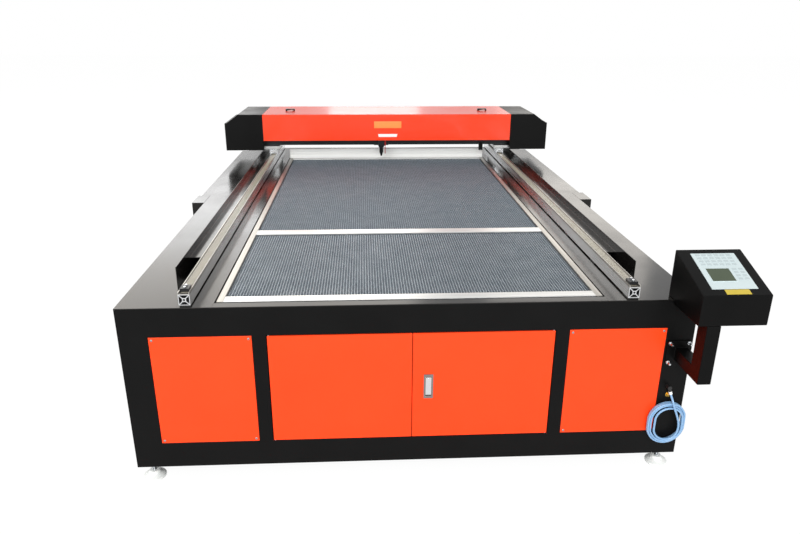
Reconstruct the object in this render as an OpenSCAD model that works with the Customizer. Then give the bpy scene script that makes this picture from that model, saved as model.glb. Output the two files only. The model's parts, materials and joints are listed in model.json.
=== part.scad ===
// Flat-bed carbon dioxide laser engraving machine with a travelling gantry.
// Machine coordinates: X to the right of the middle, Y back from the front face, Z up from the floor.

/* [Cabinet] */
// Width of the deck outside the middle of each guide tube
side_deck = 241; // [230:1:320]
// Length of the deck behind the bed
rear_deck = 410; // [380:5:700]
// Height of the cabinet body above its feet
body_h = 650; // [560:10:800]
// Height of the gap under the cabinet
foot_h = 75; // [60:1:110]
// Thickness of the sheet skins
sheet_t = 3; // [2:0.5:4]
// Thickness of the deck plates
deck_t = 4; // [3:0.5:6]
// Depth of the welded front frame
frame_d = 34; // [32:1:60]
// Height of the frame rail above the doors
top_rail_h = 111; // [80:1:140]
// Height of the frame rail below the doors
bottom_rail_h = 103; // [80:1:140]
// Width of the outer stiles of the front frame
stile_w = 102; // [96:1:130]
// Width of the frame posts between doors and fixed panels
post_w = 50; // [40:1:80]
// Width of each fixed front panel
panel_w = 360; // [300:5:420]
// Side of the square tube posts inside the cabinet
tube_post_s = 60; // [40:1:80]

/* [Doors] */
// Thickness of the folded doors
door_t = 20; // [16:1:24]
// Width of the rolled edge round each door
door_edge_w = 12; // [10:1:20]
// Gap round the doors
door_gap = 3; // [2.5:0.1:5]
// Overlap of the door stop behind the door's edge
door_stop_w = 14; // [8:1:20]
// Radius of the pivot pins
pivot_r = 3; // [2:0.5:3.5]
// Height of the lock's face plate
lock_h = 99; // [90:1:120]
// Width of the lock's face plate
lock_w = 35; // [30:1:45]
// Distance of the lock from the door's free edge
lock_inset = 42; // [30:1:60]

/* [Feet] */
// Diameter of the foot pads
pad_d = 84; // [70:1:110]
// Height of the foot pads
pad_h = 30; // [24:1:40]
// Diameter of the threaded foot studs
stud_d = 16; // [12:1:20]
// Distance of the feet from the cabinet's side faces
foot_side_inset = 43; // [40:1:70]
// Distance of the end feet from the front and rear faces
foot_end_inset = 50; // [46:1:90]

/* [Bed] */
// Outer width of the bed frame
bed_w = 1380; // [1300:10:1420]
// Outer length of the bed frame
bed_l = 2590; // [2500:10:2620]
// Width of the side bars of the bed frame
bed_side_w = 24; // [20:1:36]
// Width of the front and rear bars of the bed frame
bed_bar_w = 48; // [30:1:50]
// Height of the bars of the bed frame
bed_bar_h = 30; // [24:1:40]
// Width of the bar between the two honeycomb panels
bed_divider_w = 63; // [40:1:80]
// Length of the front honeycomb panel
front_comb_l = 735; // [600:1:900]
// Thickness of the honeycomb panels
comb_t = 25; // [20:1:28]
// Spacing of the honeycomb's ribs
comb_pitch = 24; // [20:1:40]
// Black gap between the bed frame and the deck
bed_gap = 6; // [4:0.5:10]

/* [Rails] */
// Distance of each guide tube's middle from the bed frame
rail_gap = 99; // [85:1:120]
// Side of the square guide tubes
rail_s = 40; // [36:1:44]
// Wall of the square guide tubes
rail_wall = 2.5; // [2:0.1:4]
// Side of the square core in the middle of the guide tubes
rail_core = 14; // [12:1:18]
// Height of the pads under the guide tubes
rail_pad_h = 6; // [4:0.5:8]
// Height of the lips of the guide channels
lip_h = 6; // [5:0.5:8]
// Width of the drive belts
belt_w = 24; // [16:1:28]
// Distance of the guard wall from the middle of the guide tube
guard_offset = 71; // [60:1:90]
// Gap between the guard wall and the gantry that passes over it
guard_gap = 7; // [4:1:20]
// Distance of the guard's front end from the front face
guard_front = 190; // [150:5:400]
// Height of the fence behind the bed
fence_h = 64; // [40:1:66]

/* [Gantry] */
// Distance of the gantry's front cover from the rear end of the bed at rest
gantry_park = 163; // [155:1:175]
// Depth of the gantry
gantry_d = 447; // [430:1:460]
// Height of the gantry's top above the deck
gantry_top = 327; // [310:1:360]
// Height of the front cover
cover_h = 176; // [160:1:190]
// Reach of the front cover past the middle of each guide tube
cover_over = 56; // [50:1:70]
// Width of each end housing
housing_w = 255; // [235:1:300]
// Height of the end housings
housing_h = 240; // [232:1:242]
// Height of the sloping shoulder of the end housings
shoulder_h = 58; // [40:1:80]
// Width of the sloping shoulder of the end housings
shoulder_w = 92; // [70:1:120]
// Thickness of the gantry's sheet covers
cover_t = 2; // [1.5:0.1:3]
// Depth of the cross beam
beam_d = 120; // [100:1:140]
// Height of the cross beam
beam_h = 100; // [90:1:110]
// Diameter of the laser tube
tube_d = 80; // [60:1:90]
// Length of the laser tube
tube_l = 1580; // [1200:10:1640]

/* [Laser head] */
// Place of the head along the gantry at rest
head_x = -44; // [-100:1:100]
// Height of the nozzle's tip above the deck
nozzle_gap = 40; // [30:1:60]
// Outer diameter of the lens tube
lens_tube_d = 26; // [24:1:36]
// Width of the head's mounting plate
head_plate_w = 100; // [80:1:120]

/* [Console] */
// Width of the control console
console_w = 236; // [215:1:280]
// Distance of the console's left side in from the cabinet's right side
console_inset = 97; // [94:1:105]
// Reach of the console in front of the front face
console_reach = 190; // [170:1:220]
// Depth of the console that lies over the deck
console_seat = 45; // [30:1:50]
// Height of the console's front
console_front_h = 110; // [90:1:130]
// Drop of the console's bottom below the deck
console_drop = 17; // [10:1:30]
// Slope of the console's top
console_slope = 18.9; // [10:0.1:25]
// Width of the console's arm
arm_w = 48; // [40:1:54]
// Height of the arm's level leg
arm_leg_h = 48; // [40:1:56]
// Depth of the arm's upright
arm_post_d = 62; // [50:1:80]
// Height of the arm's underside above the floor
arm_z = 487; // [480:1:500]

/* [Hose] */
// Diameter of the air hose
hose_d = 8; // [6:1:8]
// Mean radius of the hose coil's two bends
coil_r = 61; // [60:1:62]
// Radial thickness of the hose coil
coil_w = 25; // [24:1:28]
// Length of the coil's straight runs between its bends
coil_straight = 30; // [28:1:32]

/* [Hidden] */
$fn = 48;
eps = 1;
run = 0.3;          // running gap between sliding pieces
fit = 0.05;         // radial clearance of pins in bores

// Plan of the machine, worked out from the bed
bed_x = bed_w / 2;
bed_front = frame_d + deck_t + bed_gap;
bed_rear = bed_front + bed_l;
rail_x = bed_x + rail_gap;
half_w = rail_x + side_deck;
cabinet_l = bed_rear + bed_gap + rear_deck;
cover_x = rail_x + cover_over;
end_x = cover_x + housing_w;
guard_x = rail_x + guard_offset;
gantry_y = bed_rear - gantry_park;
console_x = half_w - console_inset;
centre_x = (console_x + console_w - end_x) / 2;
centre_y = (cabinet_l - console_reach) / 2;

// Levels
deck_z = foot_h + body_h;
body_top = deck_z - deck_t;

// Front openings
open_z = [foot_h + bottom_rail_h, deck_z - top_rail_h];
panel_x = [half_w - stile_w - panel_w, half_w - stile_w];
door_half = panel_x[0] - post_w;
panel_sink = 0.5;   // panels lie this far behind the frame's face
panel_play = 1;
screw_inset = 12;
screw_head_r = 4.5;
screw_head_h = 2.5;
screw_rim_h = 1;
screw_crown_r = 2.7;
pivot_in = 5;       // pivot axis behind the door's face and in from its outer edge
pivot_engage = 8;
// The door's rear corner swings past its back by this much as it opens
door_swing = norm([pivot_in, door_t - pivot_in]) - (door_t - pivot_in);
door_stop_y = door_t + door_swing + run;
lock_z = (open_z[0] + open_z[1]) / 2 - lock_h / 2;
lock_x = [lock_inset, lock_inset + lock_w];
lock_proud = 3;
lock_rim = 3;
lock_body_w = lock_w - 2 * lock_rim;
lock_body_h = lock_h - 2 * lock_rim;
lock_d = 26;
lock_floor = 8;
lever_side = 7;
lever_end = 13;
lever_w = lock_w - 2 * lever_side;
lever_h = lock_h - 2 * lever_end;
lever_t = 8;
lever_pin_r = 2;
lever_pin_end = 3;    // lever's pin and its bore from the lock's sides
lever_bore_end = 2;
lever_heel = 2;       // room below the lever for its heel as it swings
lever_proud = 1;
lever_y = -lock_proud - lever_proud;
lever_axis_y = lever_y + lever_t / 2;
lever_axis_z = lock_z + (lock_h - lever_h) / 2 + lever_t / 2;

// Feet
foot_x = half_w - foot_side_inset;
foot_ys = [foot_end_inset, cabinet_l / 2, cabinet_l - foot_end_inset];
nut_plate_t = 10;
nut_plate_s = 70;
pad_rim = 8;
pad_edge = 2;
pad_neck = 10;
pad_neck_r = stud_d / 2 + pad_neck;
pad_shoulder = 6;
pad_shoulder_drop = 11.4;
nut_wall = 6;
lock_nut_r = stud_d / 2 + nut_wall;
lock_nut_h = 9.6;

// Bed
well_x = bed_x + bed_gap;
well_y = [bed_front - bed_gap, bed_rear + bed_gap];
well_d = 60;
bed_proud = 2;
bed_z = [deck_z + bed_proud - bed_bar_h, deck_z + bed_proud];
bed_in = bed_x - bed_side_w;
front_comb_y = [bed_front + bed_bar_w, bed_front + bed_bar_w + front_comb_l];
rear_comb_y = [front_comb_y[1] + bed_divider_w, bed_rear - bed_bar_w];
comb_play = 0.5;
rib_w = 12;
rib_end = 30;
rib_depth = 10;
bearer_h = 25;
bearer_w = 40;
bearers = 9;

// Rails
rail_z = deck_z + rail_pad_h;
rail_top = rail_z + rail_s;
rail_front = 8;
rail_end = 10;
rail_web = 2.2;       // half the web's width, measured across
rail_bore_r = 4;
rail_rear = cabinet_l - rail_end;
channel_t = 2;
lip_w = 3;
lip_top = rail_top + channel_t + lip_h;
belt_t = 2;
belt_z = rail_top + channel_t;
rail_pad_l = 56;
rail_pad_in = 2;      // pads from the guide tube's sides and ends
rail_pads_each = 9;
clamp_l = 40;
clamp_h = 12;
clamp_play = 1;
clamp_end = 14;
clamp_bolt_r = 5;
clamp_bolt_h = 5;
clamp_bolt_end = 10;
guard_t = 3;
ledge_t = 3;
ledge_rise = 1;
ledge_setback = 200;
guard_end = 60;
ledge_z = rail_top - ledge_t + ledge_rise;
ledge_front = guard_front + ledge_setback;
guard_rear = cabinet_l - guard_end;
fence_d = 20;
fence_groove = 6;
fence_groove_in = 3;
fence_groove_low = 19;
fence_groove_top = 24;

// Side ducts that carry the gantry's cables
duct_w = 50;
duct_h = 70;
duct_past_middle = 45;
duct_end = 90;
duct_front = cabinet_l / 2 + duct_past_middle;
duct_rear = cabinet_l - duct_end;
duct_box_w = 65;
duct_box_l = 157;
duct_box_h = 110;

// Gantry
top_z = deck_z + gantry_top;
housing_z = top_z - housing_h;
brow_w = 15;          // short step at the foot of the housings' shoulder
brow_h = 3;
lid_play = 1;
back_y = gantry_y + gantry_d;
cover_z = top_z - cover_h;
lid_t = cover_t;
cover_flange = 30;
cover_foot = 20;
beam_setback = 89;   // cover's face to the beam
beam_lift = 53;      // lips of the guide channels to the beam's underside
beam_end_gap = 60;
beam_y = gantry_y + beam_setback;
beam_z = lip_top + beam_lift;
beam_wall = 6;
beam_x = end_x - beam_end_gap;
carriage_t = 20;
guard_top = min(housing_z, beam_z - carriage_t) - guard_gap;
carriage_in = 44;
carriage_out = 55;
carriage_end = 38;
carriage_x = [rail_x - carriage_in, end_x - carriage_out];
carriage_y = [gantry_y + carriage_end, back_y - carriage_end];
block_w = 56;
block_l = 70;
block_end = 10;      // bearing blocks from the carriage plate's ends
block_y = [carriage_y[0] + block_end, carriage_y[1] - block_end - block_l];
skirt_h = 5;
skirt_gap = run + 0.2;
motor_s = 86;
motor_l = 110;
motor_cut = 9;
motor_boss_r = 36;
motor_boss_h = 3;
shaft_r = 7;
shaft_l = 24;
motor_gap = 40;
motor_in = 35;
motor_x = cover_x + motor_in;
tray_t = 3;
tray_z = cover_z + cover_t;
tube_setback = 110;
tube_lift = 24;
tube_y = beam_y + beam_d + tube_setback;
tube_z = tray_z + tray_t + tube_lift + tube_d / 2;
cap_l = 60;
cap_step = 8;
cap_r = tube_d / 2 - cap_step;
clamp_ring_t = 8;
clamp_ring_l = 30;
ring_end = 332;      // ring mounts from the tube's ends
clamp_x = tube_l / 2 - ring_end;
hinge_r = 5;
hinge_pin_r = 2.5;
hinge_gap = 0.5;
hinge_y = back_y + hinge_r + hinge_gap;
hinge_z = top_z - hinge_r;
knuckle_l = 60;
knuckle_gap = 0.5;
hinge_end = 211;     // outer hinges from the lid's ends
hinge_xs = [hinge_end - cover_x, 0, cover_x - hinge_end];
handle_end = 169;    // handles from the lid's ends
handle_front = 200;  // handles from the lid's front edge
handle_x = cover_x - handle_end;
handle_y = gantry_y + handle_front;
handle_l = 64;
handle_d = 24;
handle_h = 14;
handle_foot = 10;
handle_bar = 5;
mirror_s = 50;
mirror_t = 8;
mirror_post = 14;

// Laser head
guide_h = 20;
guide_d = 15;
guide_lift = 40;
guide_end = 60;
guide_z = beam_z + guide_lift;
guide_x = cover_x - guide_end;
slide_w = 90;
slide_wall = 16;
slide_front = 18;
slide_back = 2;
slide_y = [beam_y - guide_d - slide_front, beam_y - slide_back];
slide_z = [guide_z - slide_wall, guide_z + guide_h + slide_wall];
plate_t = 8;
plate_y = slide_y[0] - plate_t;
plate_over = 12;     // mounting plate past the slide's top
plate_lift = 4;      // mounting plate's bottom above the beam's underside
plate_z = [beam_z + plate_lift, slide_z[1] + plate_over];
lens_wall = 8;
lens_gap = 4;
block_half = lens_tube_d / 2 + lens_wall;
lens_y = plate_y - lens_tube_d / 2 - lens_gap;
mirror_block_h = 34;
mirror_block_z = [plate_z[0], plate_z[0] + mirror_block_h];
sleeve_h = 10;
sleeve_step = 2;
block_roof = 6;
nozzle_z = deck_z + nozzle_gap;
nozzle_h = 24;
nozzle_tip_r = 5;
lens_bore_r = lens_tube_d / 2 + fit;
focus_room = 16;     // lens tube's free travel up and down
lens_tube_top = mirror_block_z[1] - focus_room - block_roof;
limit_in = 21;
limit_x = bed_in - limit_in;
limit_w = 26;
limit_d = 25;
limit_clear = 6;     // gap of the limit bracket to the fence below and to the slide above
limit_z = [deck_z + fence_h + limit_clear, slide_z[0] - limit_clear];
lead_r = 2.5;
pointer_r = 6;
pointer_l = 34;
lead_l = 56;

// Console
console_z = deck_z - console_drop;
console_top = console_z + console_front_h;
console_run = console_reach + console_seat;
console_back_top = console_top + console_run * tan(console_slope);
keypad_in = 42;
keypad_x = console_x + keypad_in;
keypad_w = 157;
keypad_from = 32;
keypad_l = 190;
keypad_t = 2;
screen_in = 19;
screen_up = 39;
screen_x = keypad_x + screen_in;
screen_w = 81;
screen_from = keypad_from + screen_up;
screen_l = 66;
screen_t = 1;
plate_in = 40;
plate_x = keypad_x + plate_in;
plate_w = 84;
plate_from = 6;
plate_l = 24;
plate_thick = 1;
arm_in = 32;
arm_x = console_x + arm_in;
flange_t = 6;
bolt_span = [70, 77];        // spacing of the flange's bolts, across and up
flange_rim = 8;
flange_shift = [-12.3, 6.5]; // flange's middle from the middle of the arm
flange_w = bolt_span[0] + 2 * flange_rim;
flange_h = bolt_span[1] + 2 * flange_rim;
flange_x = arm_x + arm_w / 2 + flange_shift[0];
flange_z = arm_z + arm_leg_h / 2 + flange_shift[1];
bolt_r = 4;
bolt_l = 24;
bolt_nut_r = 7.5;
bolt_nut_h = 6.5;

// Air fitting, earth stud and hose
fitting_side = 70;
fitting_up = 301;
fitting_at = [half_w - fitting_side, foot_h + fitting_up];
fitting_r = 8;
fitting_l = 24;
elbow_r = 6;
elbow_l = 18;
elbow_lean = 20;
hose_y = -16;
earth_step = [7, -39];
earth_at = fitting_at + earth_step;
earth_r = 5;
earth_l = 10;
earth_tag_r = 10;
earth_tag_t = 2;
coil_step = [10.5, -154.3];
coil_at = fitting_at + coil_step;
coil_y = [-27, -3];
coil_soft = 5;
hose_exit = [
    fitting_at[0] + elbow_l * sin(elbow_lean), hose_y, fitting_at[1] - elbow_l * cos(elbow_lean)
];
hose_steps = [
    [0, 0, 0], [6, -1, -17], [11, -7, -33], [15, -14, -49], [20, -18, -66], [27, -18, -82],
    [34, -16, -98], [41, -13, -114], [47, -10, -131], [50, -9, -148], [49, -9, -166], [44, -9, -183]
];
hose_route = [for (step = hose_steps) hose_exit + step];
hose_sides = 10;

// Inner boxes
supply_w = 180;
supply_d = 320;
supply_h = 190;
control_h = 150;
inner_y = 150;

// Box between two corners given as ranges along each axis
module block(x, y, z) {
    translate([x[0], y[0], z[0]])
        cube([x[1] - x[0], y[1] - y[0], z[1] - z[0]]);
}

// The same shape on both sides of the machine
module both_sides() {
    children();
    mirror([1, 0, 0]) children();
}

// Sideways profile in Y and Z, drawn out along X
module profile_along_x(x) {
    translate([x[0], 0, 0])
        rotate([90, 0, 90])
            linear_extrude(x[1] - x[0])
                children();
}

// Front profile in X and Z, drawn out along Y
module profile_along_y(y) {
    translate([0, y[1], 0])
        rotate([90, 0, 0])
            linear_extrude(y[1] - y[0])
                children();
}

// Moves the machine so that the middle of its footprint is the origin
module in_frame() {
    translate([-centre_x, -centre_y, 0]) children();
}

// Cabinet

module front_frame() {
    stop = door_half - door_stop_w;
    color("#151515")
        difference() {
            block([-half_w, half_w], [0, frame_d], [foot_h, body_top]);
            block([-door_half, door_half], [-eps, door_stop_y], open_z);
            block([-stop, stop], [-eps, frame_d + eps],
                  [open_z[0] + door_stop_w, open_z[1] - door_stop_w]);
            both_sides()
                block(panel_x, [-eps, panel_sink + sheet_t], open_z);
        }
}

module side_skins() {
    color("#151515")
        both_sides()
            block([half_w - sheet_t, half_w], [frame_d, cabinet_l - sheet_t], [foot_h, body_top]);
}

module rear_skin() {
    louvres = 7;
    louvre_l = 220;
    louvre_h = 8;
    louvre_pitch = 24;
    louvre_side = 412;
    louvre_base = 195;
    color("#151515")
        difference() {
            block([-half_w, half_w], [cabinet_l - sheet_t, cabinet_l], [foot_h, body_top]);
            both_sides()
                for (i = [0:louvres - 1])
                    translate([half_w - louvre_side, cabinet_l - sheet_t - eps,
                               foot_h + louvre_base + i * louvre_pitch])
                        cube([louvre_l, sheet_t + 2 * eps, louvre_h]);
        }
}

// Floor of the cabinet with the tapped plates that take the feet
module base_pan() {
    color("#1c1c1c")
        difference() {
            union() {
                block([-half_w + sheet_t, half_w - sheet_t], [frame_d, cabinet_l - sheet_t],
                      [foot_h, foot_h + sheet_t]);
                at_feet()
                    translate([-nut_plate_s / 2, -nut_plate_s / 2, foot_h - nut_plate_t])
                        cube([nut_plate_s, nut_plate_s, nut_plate_t]);
            }
            at_feet()
                translate([0, 0, foot_h - nut_plate_t - eps])
                    cylinder(d = stud_d + 2 * fit, h = nut_plate_t + eps);
        }
}

module frame_posts() {
    wall = 3;
    ys = [frame_d, cabinet_l / 2, cabinet_l - sheet_t - tube_post_s];
    color("#1c1c1c")
        both_sides()
            for (y = ys)
                translate([half_w - sheet_t - tube_post_s, y, foot_h + sheet_t])
                    difference() {
                        cube([tube_post_s, tube_post_s, body_top - foot_h - sheet_t]);
                        translate([wall, wall, -eps])
                            cube([tube_post_s - 2 * wall, tube_post_s - 2 * wall, body_h]);
                    }
}

// Deck plates beside the bed, each with its inner edge folded down into the bed's well
module deck_sides() {
    color("#181818")
        both_sides() {
            block([well_x, half_w], [0, cabinet_l], [body_top, deck_z]);
            block([well_x, well_x + deck_t], [frame_d, cabinet_l - sheet_t], [deck_z - well_d, body_top]);
        }
}

// Deck plates in front of the bed and behind it, folded down the same way
module deck_ends() {
    fold_z = [deck_z - well_d, body_top];
    color("#181818") {
        block([-well_x, well_x], [0, well_y[0]], [body_top, deck_z]);
        block([-well_x, well_x], [well_y[0] - deck_t, well_y[0]], fold_z);
        block([-well_x, well_x], [well_y[1], cabinet_l], [body_top, deck_z]);
        block([-well_x, well_x], [well_y[1], well_y[1] + deck_t], fold_z);
    }
}

module front_panels() {
    color("#ff5a32")
        both_sides()
            block([panel_x[0] + panel_play, panel_x[1] - panel_play], [panel_sink, panel_sink + sheet_t],
                  [open_z[0] + panel_play, open_z[1] - panel_play]);
}

module panel_screws() {
    xs = [panel_x[0] + screw_inset, panel_x[1] - screw_inset];
    zs = [open_z[0] + screw_inset, open_z[1] - screw_inset];
    color("#d8d8d8")
        both_sides()
            for (x = xs, z = zs)
                translate([x, panel_sink, z])
                    rotate([90, 0, 0])
                        rotate_extrude()
                            polygon([
                                [0, 0], [screw_head_r, 0], [screw_head_r, screw_rim_h],
                                [screw_crown_r, screw_head_h], [0, screw_head_h]
                            ]);
}

// Doors

module door_pivots() {
    color("#b0b0b0")
        both_sides() {
            translate([door_half - door_gap - pivot_in, pivot_in, open_z[0]])
                cylinder(r = pivot_r, h = door_gap + pivot_engage);
            translate([door_half - door_gap - pivot_in, pivot_in, open_z[1] - door_gap - pivot_engage])
                cylinder(r = pivot_r, h = door_gap + pivot_engage);
        }
}

// Folded door: a face sheet with a rolled edge, and bores for its two pivots
module door_pan() {
    x = [door_gap / 2, door_half - door_gap];
    z = [open_z[0] + door_gap, open_z[1] - door_gap];
    difference() {
        block(x, [0, door_t], z);
        block([x[0] + door_edge_w, x[1] - door_edge_w], [sheet_t, door_t + eps],
              [z[0] + door_edge_w, z[1] - door_edge_w]);
        translate([x[1] - pivot_in, pivot_in, z[0] - eps])
            cylinder(r = pivot_r + fit, h = pivot_engage + eps + run);
        translate([x[1] - pivot_in, pivot_in, z[1] - pivot_engage - run])
            cylinder(r = pivot_r + fit, h = pivot_engage + eps + run);
    }
}

module door_left() {
    color("#ff643e")
        mirror([1, 0, 0])
            door_pan();
}

module door_right() {
    mid_x = (lock_x[0] + lock_x[1]) / 2;
    mid_z = lock_z + lock_h / 2;
    color("#ff643e")
        difference() {
            door_pan();
            block([mid_x - lock_body_w / 2 - run, mid_x + lock_body_w / 2 + run], [-eps, sheet_t + eps],
                  [mid_z - lock_body_h / 2 - run, mid_z + lock_body_h / 2 + run]);
        }
}

// Flush lever lock: face plate and body, with a well for the lever
module door_lock() {
    mid_x = (lock_x[0] + lock_x[1]) / 2;
    mid_z = lock_z + lock_h / 2;
    color("#d9dcdf")
        difference() {
            union() {
                block(lock_x, [-lock_proud, 0], [lock_z, lock_z + lock_h]);
                block([mid_x - lock_body_w / 2, mid_x + lock_body_w / 2], [0, lock_d],
                      [mid_z - lock_body_h / 2, mid_z + lock_body_h / 2]);
            }
            block([mid_x - lever_w / 2 - run, mid_x + lever_w / 2 + run],
                  [-lock_proud - eps, lock_d - lock_floor],
                  [lever_axis_z - lever_t / 2 - lever_heel, lever_axis_z - lever_t / 2 + lever_h + run]);
            translate([mid_x - lock_w / 2 + lever_bore_end, lever_axis_y, lever_axis_z])
                rotate([0, 90, 0])
                    cylinder(r = lever_pin_r + fit, h = lock_w - 2 * lever_bore_end);
        }
}

module lock_lever() {
    mid_x = (lock_x[0] + lock_x[1]) / 2;
    color("#e4e6e8") {
        block([mid_x - lever_w / 2, mid_x + lever_w / 2], [lever_y, lever_y + lever_t],
              [lever_axis_z, lever_axis_z - lever_t / 2 + lever_h]);
        translate([mid_x - lever_w / 2, lever_axis_y, lever_axis_z])
            rotate([0, 90, 0])
                cylinder(d = lever_t, h = lever_w);
        translate([mid_x - lock_w / 2 + lever_pin_end, lever_axis_y, lever_axis_z])
            rotate([0, 90, 0])
                cylinder(r = lever_pin_r, h = lock_w - 2 * lever_pin_end);
    }
}

// Feet

module at_feet() {
    both_sides()
        for (y = foot_ys)
            translate([foot_x, y, 0]) children();
}

module foot_studs() {
    color("#c8ccd0")
        at_feet()
            translate([0, 0, pad_h])
                cylinder(d = stud_d, h = foot_h - pad_h);
}

module foot_nuts() {
    color("#c8ccd0")
        at_feet()
            translate([0, 0, foot_h - nut_plate_t - lock_nut_h])
                difference() {
                    cylinder(r = lock_nut_r, h = lock_nut_h, $fn = 6);
                    translate([0, 0, -eps])
                        cylinder(d = stud_d + 2 * fit, h = lock_nut_h + 2 * eps);
                }
}

module foot_pads() {
    color("#e8e8e2")
        at_feet()
            rotate_extrude()
                polygon([
                    [0, 0], [pad_d / 2 - pad_edge, 0], [pad_d / 2, pad_edge], [pad_d / 2, pad_rim],
                    [pad_neck_r + pad_shoulder, pad_h - pad_shoulder_drop], [pad_neck_r, pad_h], [0, pad_h]
                ]);
}

// Bed

module bed_side_bars() {
    color("#d4d6d8")
        both_sides()
            block([bed_in, bed_x], [bed_front, bed_rear], bed_z);
}

module bed_cross_bars() {
    ends = [
        [bed_front, front_comb_y[0]], [front_comb_y[1], rear_comb_y[0]],
        [rear_comb_y[1], bed_rear]
    ];
    color("#d4d6d8")
        for (y = ends)
            block([-bed_in, bed_in], y, bed_z);
}

module bed_bearers() {
    first = bed_front + bed_bar_w / 2;
    last = bed_rear - bed_bar_w / 2;
    step = (last - first) / (bearers - 1);
    color("#202020")
        for (i = [0:bearers - 1])
            translate([-well_x, first + step * i - bearer_w / 2, bed_z[0] - bearer_h])
                cube([2 * well_x, bearer_w, bearer_h]);
}

// Honeycomb panel, its upper face cut into cross ribs
module honeycomb(y) {
    ribs = floor((y[1] - y[0]) / comb_pitch) - 1;
    margin = ((y[1] - y[0]) - ribs * comb_pitch + rib_w) / 2;
    comb_top = bed_z[0] + comb_t;
    difference() {
        block([-bed_in + comb_play, bed_in - comb_play], [y[0] + comb_play, y[1] - comb_play],
              [bed_z[0], comb_top]);
        for (i = [0:ribs - 1])
            translate([-bed_in + rib_end, y[0] + margin + i * comb_pitch, comb_top - rib_depth])
                cube([2 * (bed_in - rib_end), comb_pitch - rib_w, rib_depth + eps]);
    }
}

module honeycomb_front() {
    color("#5f666e") honeycomb(front_comb_y);
}

module honeycomb_rear() {
    color("#6d7277") honeycomb(rear_comb_y);
}

// Rails

// Section of the extruded guide tube: smooth faces, a bored core and a web to each corner
module rail_section() {
    wall = rail_s / 2 - rail_wall;
    core = rail_core / 2;
    difference() {
        square(rail_s, center = true);
        for (side = [0:3])
            rotate(90 * side)
                polygon([
                    [rail_web - wall, wall], [wall - rail_web, wall], [core - rail_web, core],
                    [rail_web - core, core]
                ]);
        circle(r = rail_bore_r);
    }
}

module rail_tubes() {
    color("#c9cbcc")
        both_sides()
            profile_along_y([rail_front, rail_rear])
                translate([rail_x, rail_z + rail_s / 2])
                    rail_section();
}

module rail_pads() {
    first = rail_front + rail_pad_in;
    step = (rail_rear - rail_pad_in - rail_pad_l - first) / (rail_pads_each - 1);
    half = rail_s / 2 - rail_pad_in;
    color("#111111")
        both_sides()
            for (i = [0:rail_pads_each - 1])
                block([rail_x - half, rail_x + half], [first + i * step, first + i * step + rail_pad_l],
                      [deck_z, rail_z]);
}

// Shallow channel on each guide tube, with a lip along each edge
module guide_channels() {
    half = rail_s / 2;
    color("#dcdddd")
        both_sides()
            profile_along_y([rail_front, rail_rear])
                translate([rail_x, rail_top])
                    polygon([
                        [-half, 0], [half, 0], [half, channel_t + lip_h], [half - lip_w, channel_t + lip_h],
                        [half - lip_w, channel_t], [lip_w - half, channel_t],
                        [lip_w - half, channel_t + lip_h], [-half, channel_t + lip_h]
                    ]);
}

module drive_belts() {
    color("#3a352f")
        both_sides()
            block([rail_x - belt_w / 2, rail_x + belt_w / 2], [rail_front + clamp_end, rail_rear - clamp_end],
                  [belt_z, belt_z + belt_t]);
}

// Belt clamps at the ends of both belts, each held by two bolts
module at_clamps() {
    both_sides()
        for (y = [rail_front + clamp_end, rail_rear - clamp_end - clamp_l])
            translate([rail_x, y, belt_z + belt_t]) children();
}

module belt_clamps() {
    width = rail_s - 2 * (lip_w + clamp_play);
    color("#2a2a2a")
        at_clamps()
            translate([-width / 2, 0, 0])
                cube([width, clamp_l, clamp_h]);
}

module clamp_bolts() {
    color("#eceff0")
        at_clamps()
            for (y = [clamp_bolt_end, clamp_l - clamp_bolt_end])
                translate([0, y, clamp_h])
                    cylinder(r = clamp_bolt_r, h = clamp_bolt_h);
}

// Guards: a wall on the deck with a ledge that reaches in to the guide tube
module rail_guards() {
    color("#121212")
        both_sides() {
            block([guard_x - guard_t, guard_x], [guard_front, guard_rear], [deck_z, guard_top]);
            block([rail_x + rail_s / 2 + run, guard_x - guard_t], [ledge_front, guard_rear],
                  [ledge_z, ledge_z + ledge_t]);
        }
}

module rear_fence() {
    y = [well_y[1], well_y[1] + fence_d];
    color("#d7d9da")
        difference() {
            block([-bed_x, bed_x], y, [deck_z, deck_z + fence_h]);
            for (up = [fence_groove_low, fence_h - fence_groove_top])
                translate([-bed_x - eps, y[0] - eps, deck_z + up])
                    cube([bed_w + 2 * eps, fence_groove_in + eps, fence_groove]);
        }
}

module cable_ducts() {
    color("#141414")
        both_sides() {
            block([half_w, half_w + duct_w], [duct_front, duct_rear], [deck_z - duct_h, deck_z - deck_t]);
            block([half_w, half_w + duct_box_w], [duct_front - duct_box_l, duct_front],
                  [deck_z - duct_box_h, deck_z]);
        }
}

// Inner boxes behind the fixed panels

module laser_power_supply() {
    color("#8a8d90")
        block([panel_x[0] + post_w, panel_x[0] + post_w + supply_w], [inner_y, inner_y + supply_d],
              [foot_h + sheet_t, foot_h + sheet_t + supply_h]);
}

module motion_controller() {
    color("#70757a")
        block([-panel_x[0] - post_w - supply_w, -panel_x[0] - post_w], [inner_y, inner_y + supply_d],
              [foot_h + sheet_t, foot_h + sheet_t + control_h]);
}

// Console

module console_arm() {
    color("#161616") {
        profile_along_x([arm_x, arm_x + arm_w])
            polygon([
                [-flange_t, arm_z], [-console_reach, arm_z], [-console_reach, console_z],
                [arm_post_d - console_reach, console_z], [arm_post_d - console_reach, arm_z + arm_leg_h],
                [-flange_t, arm_z + arm_leg_h]
            ]);
        block([flange_x - flange_w / 2, flange_x + flange_w / 2], [-flange_t, 0],
              [flange_z - flange_h / 2, flange_z + flange_h / 2]);
    }
}

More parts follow.
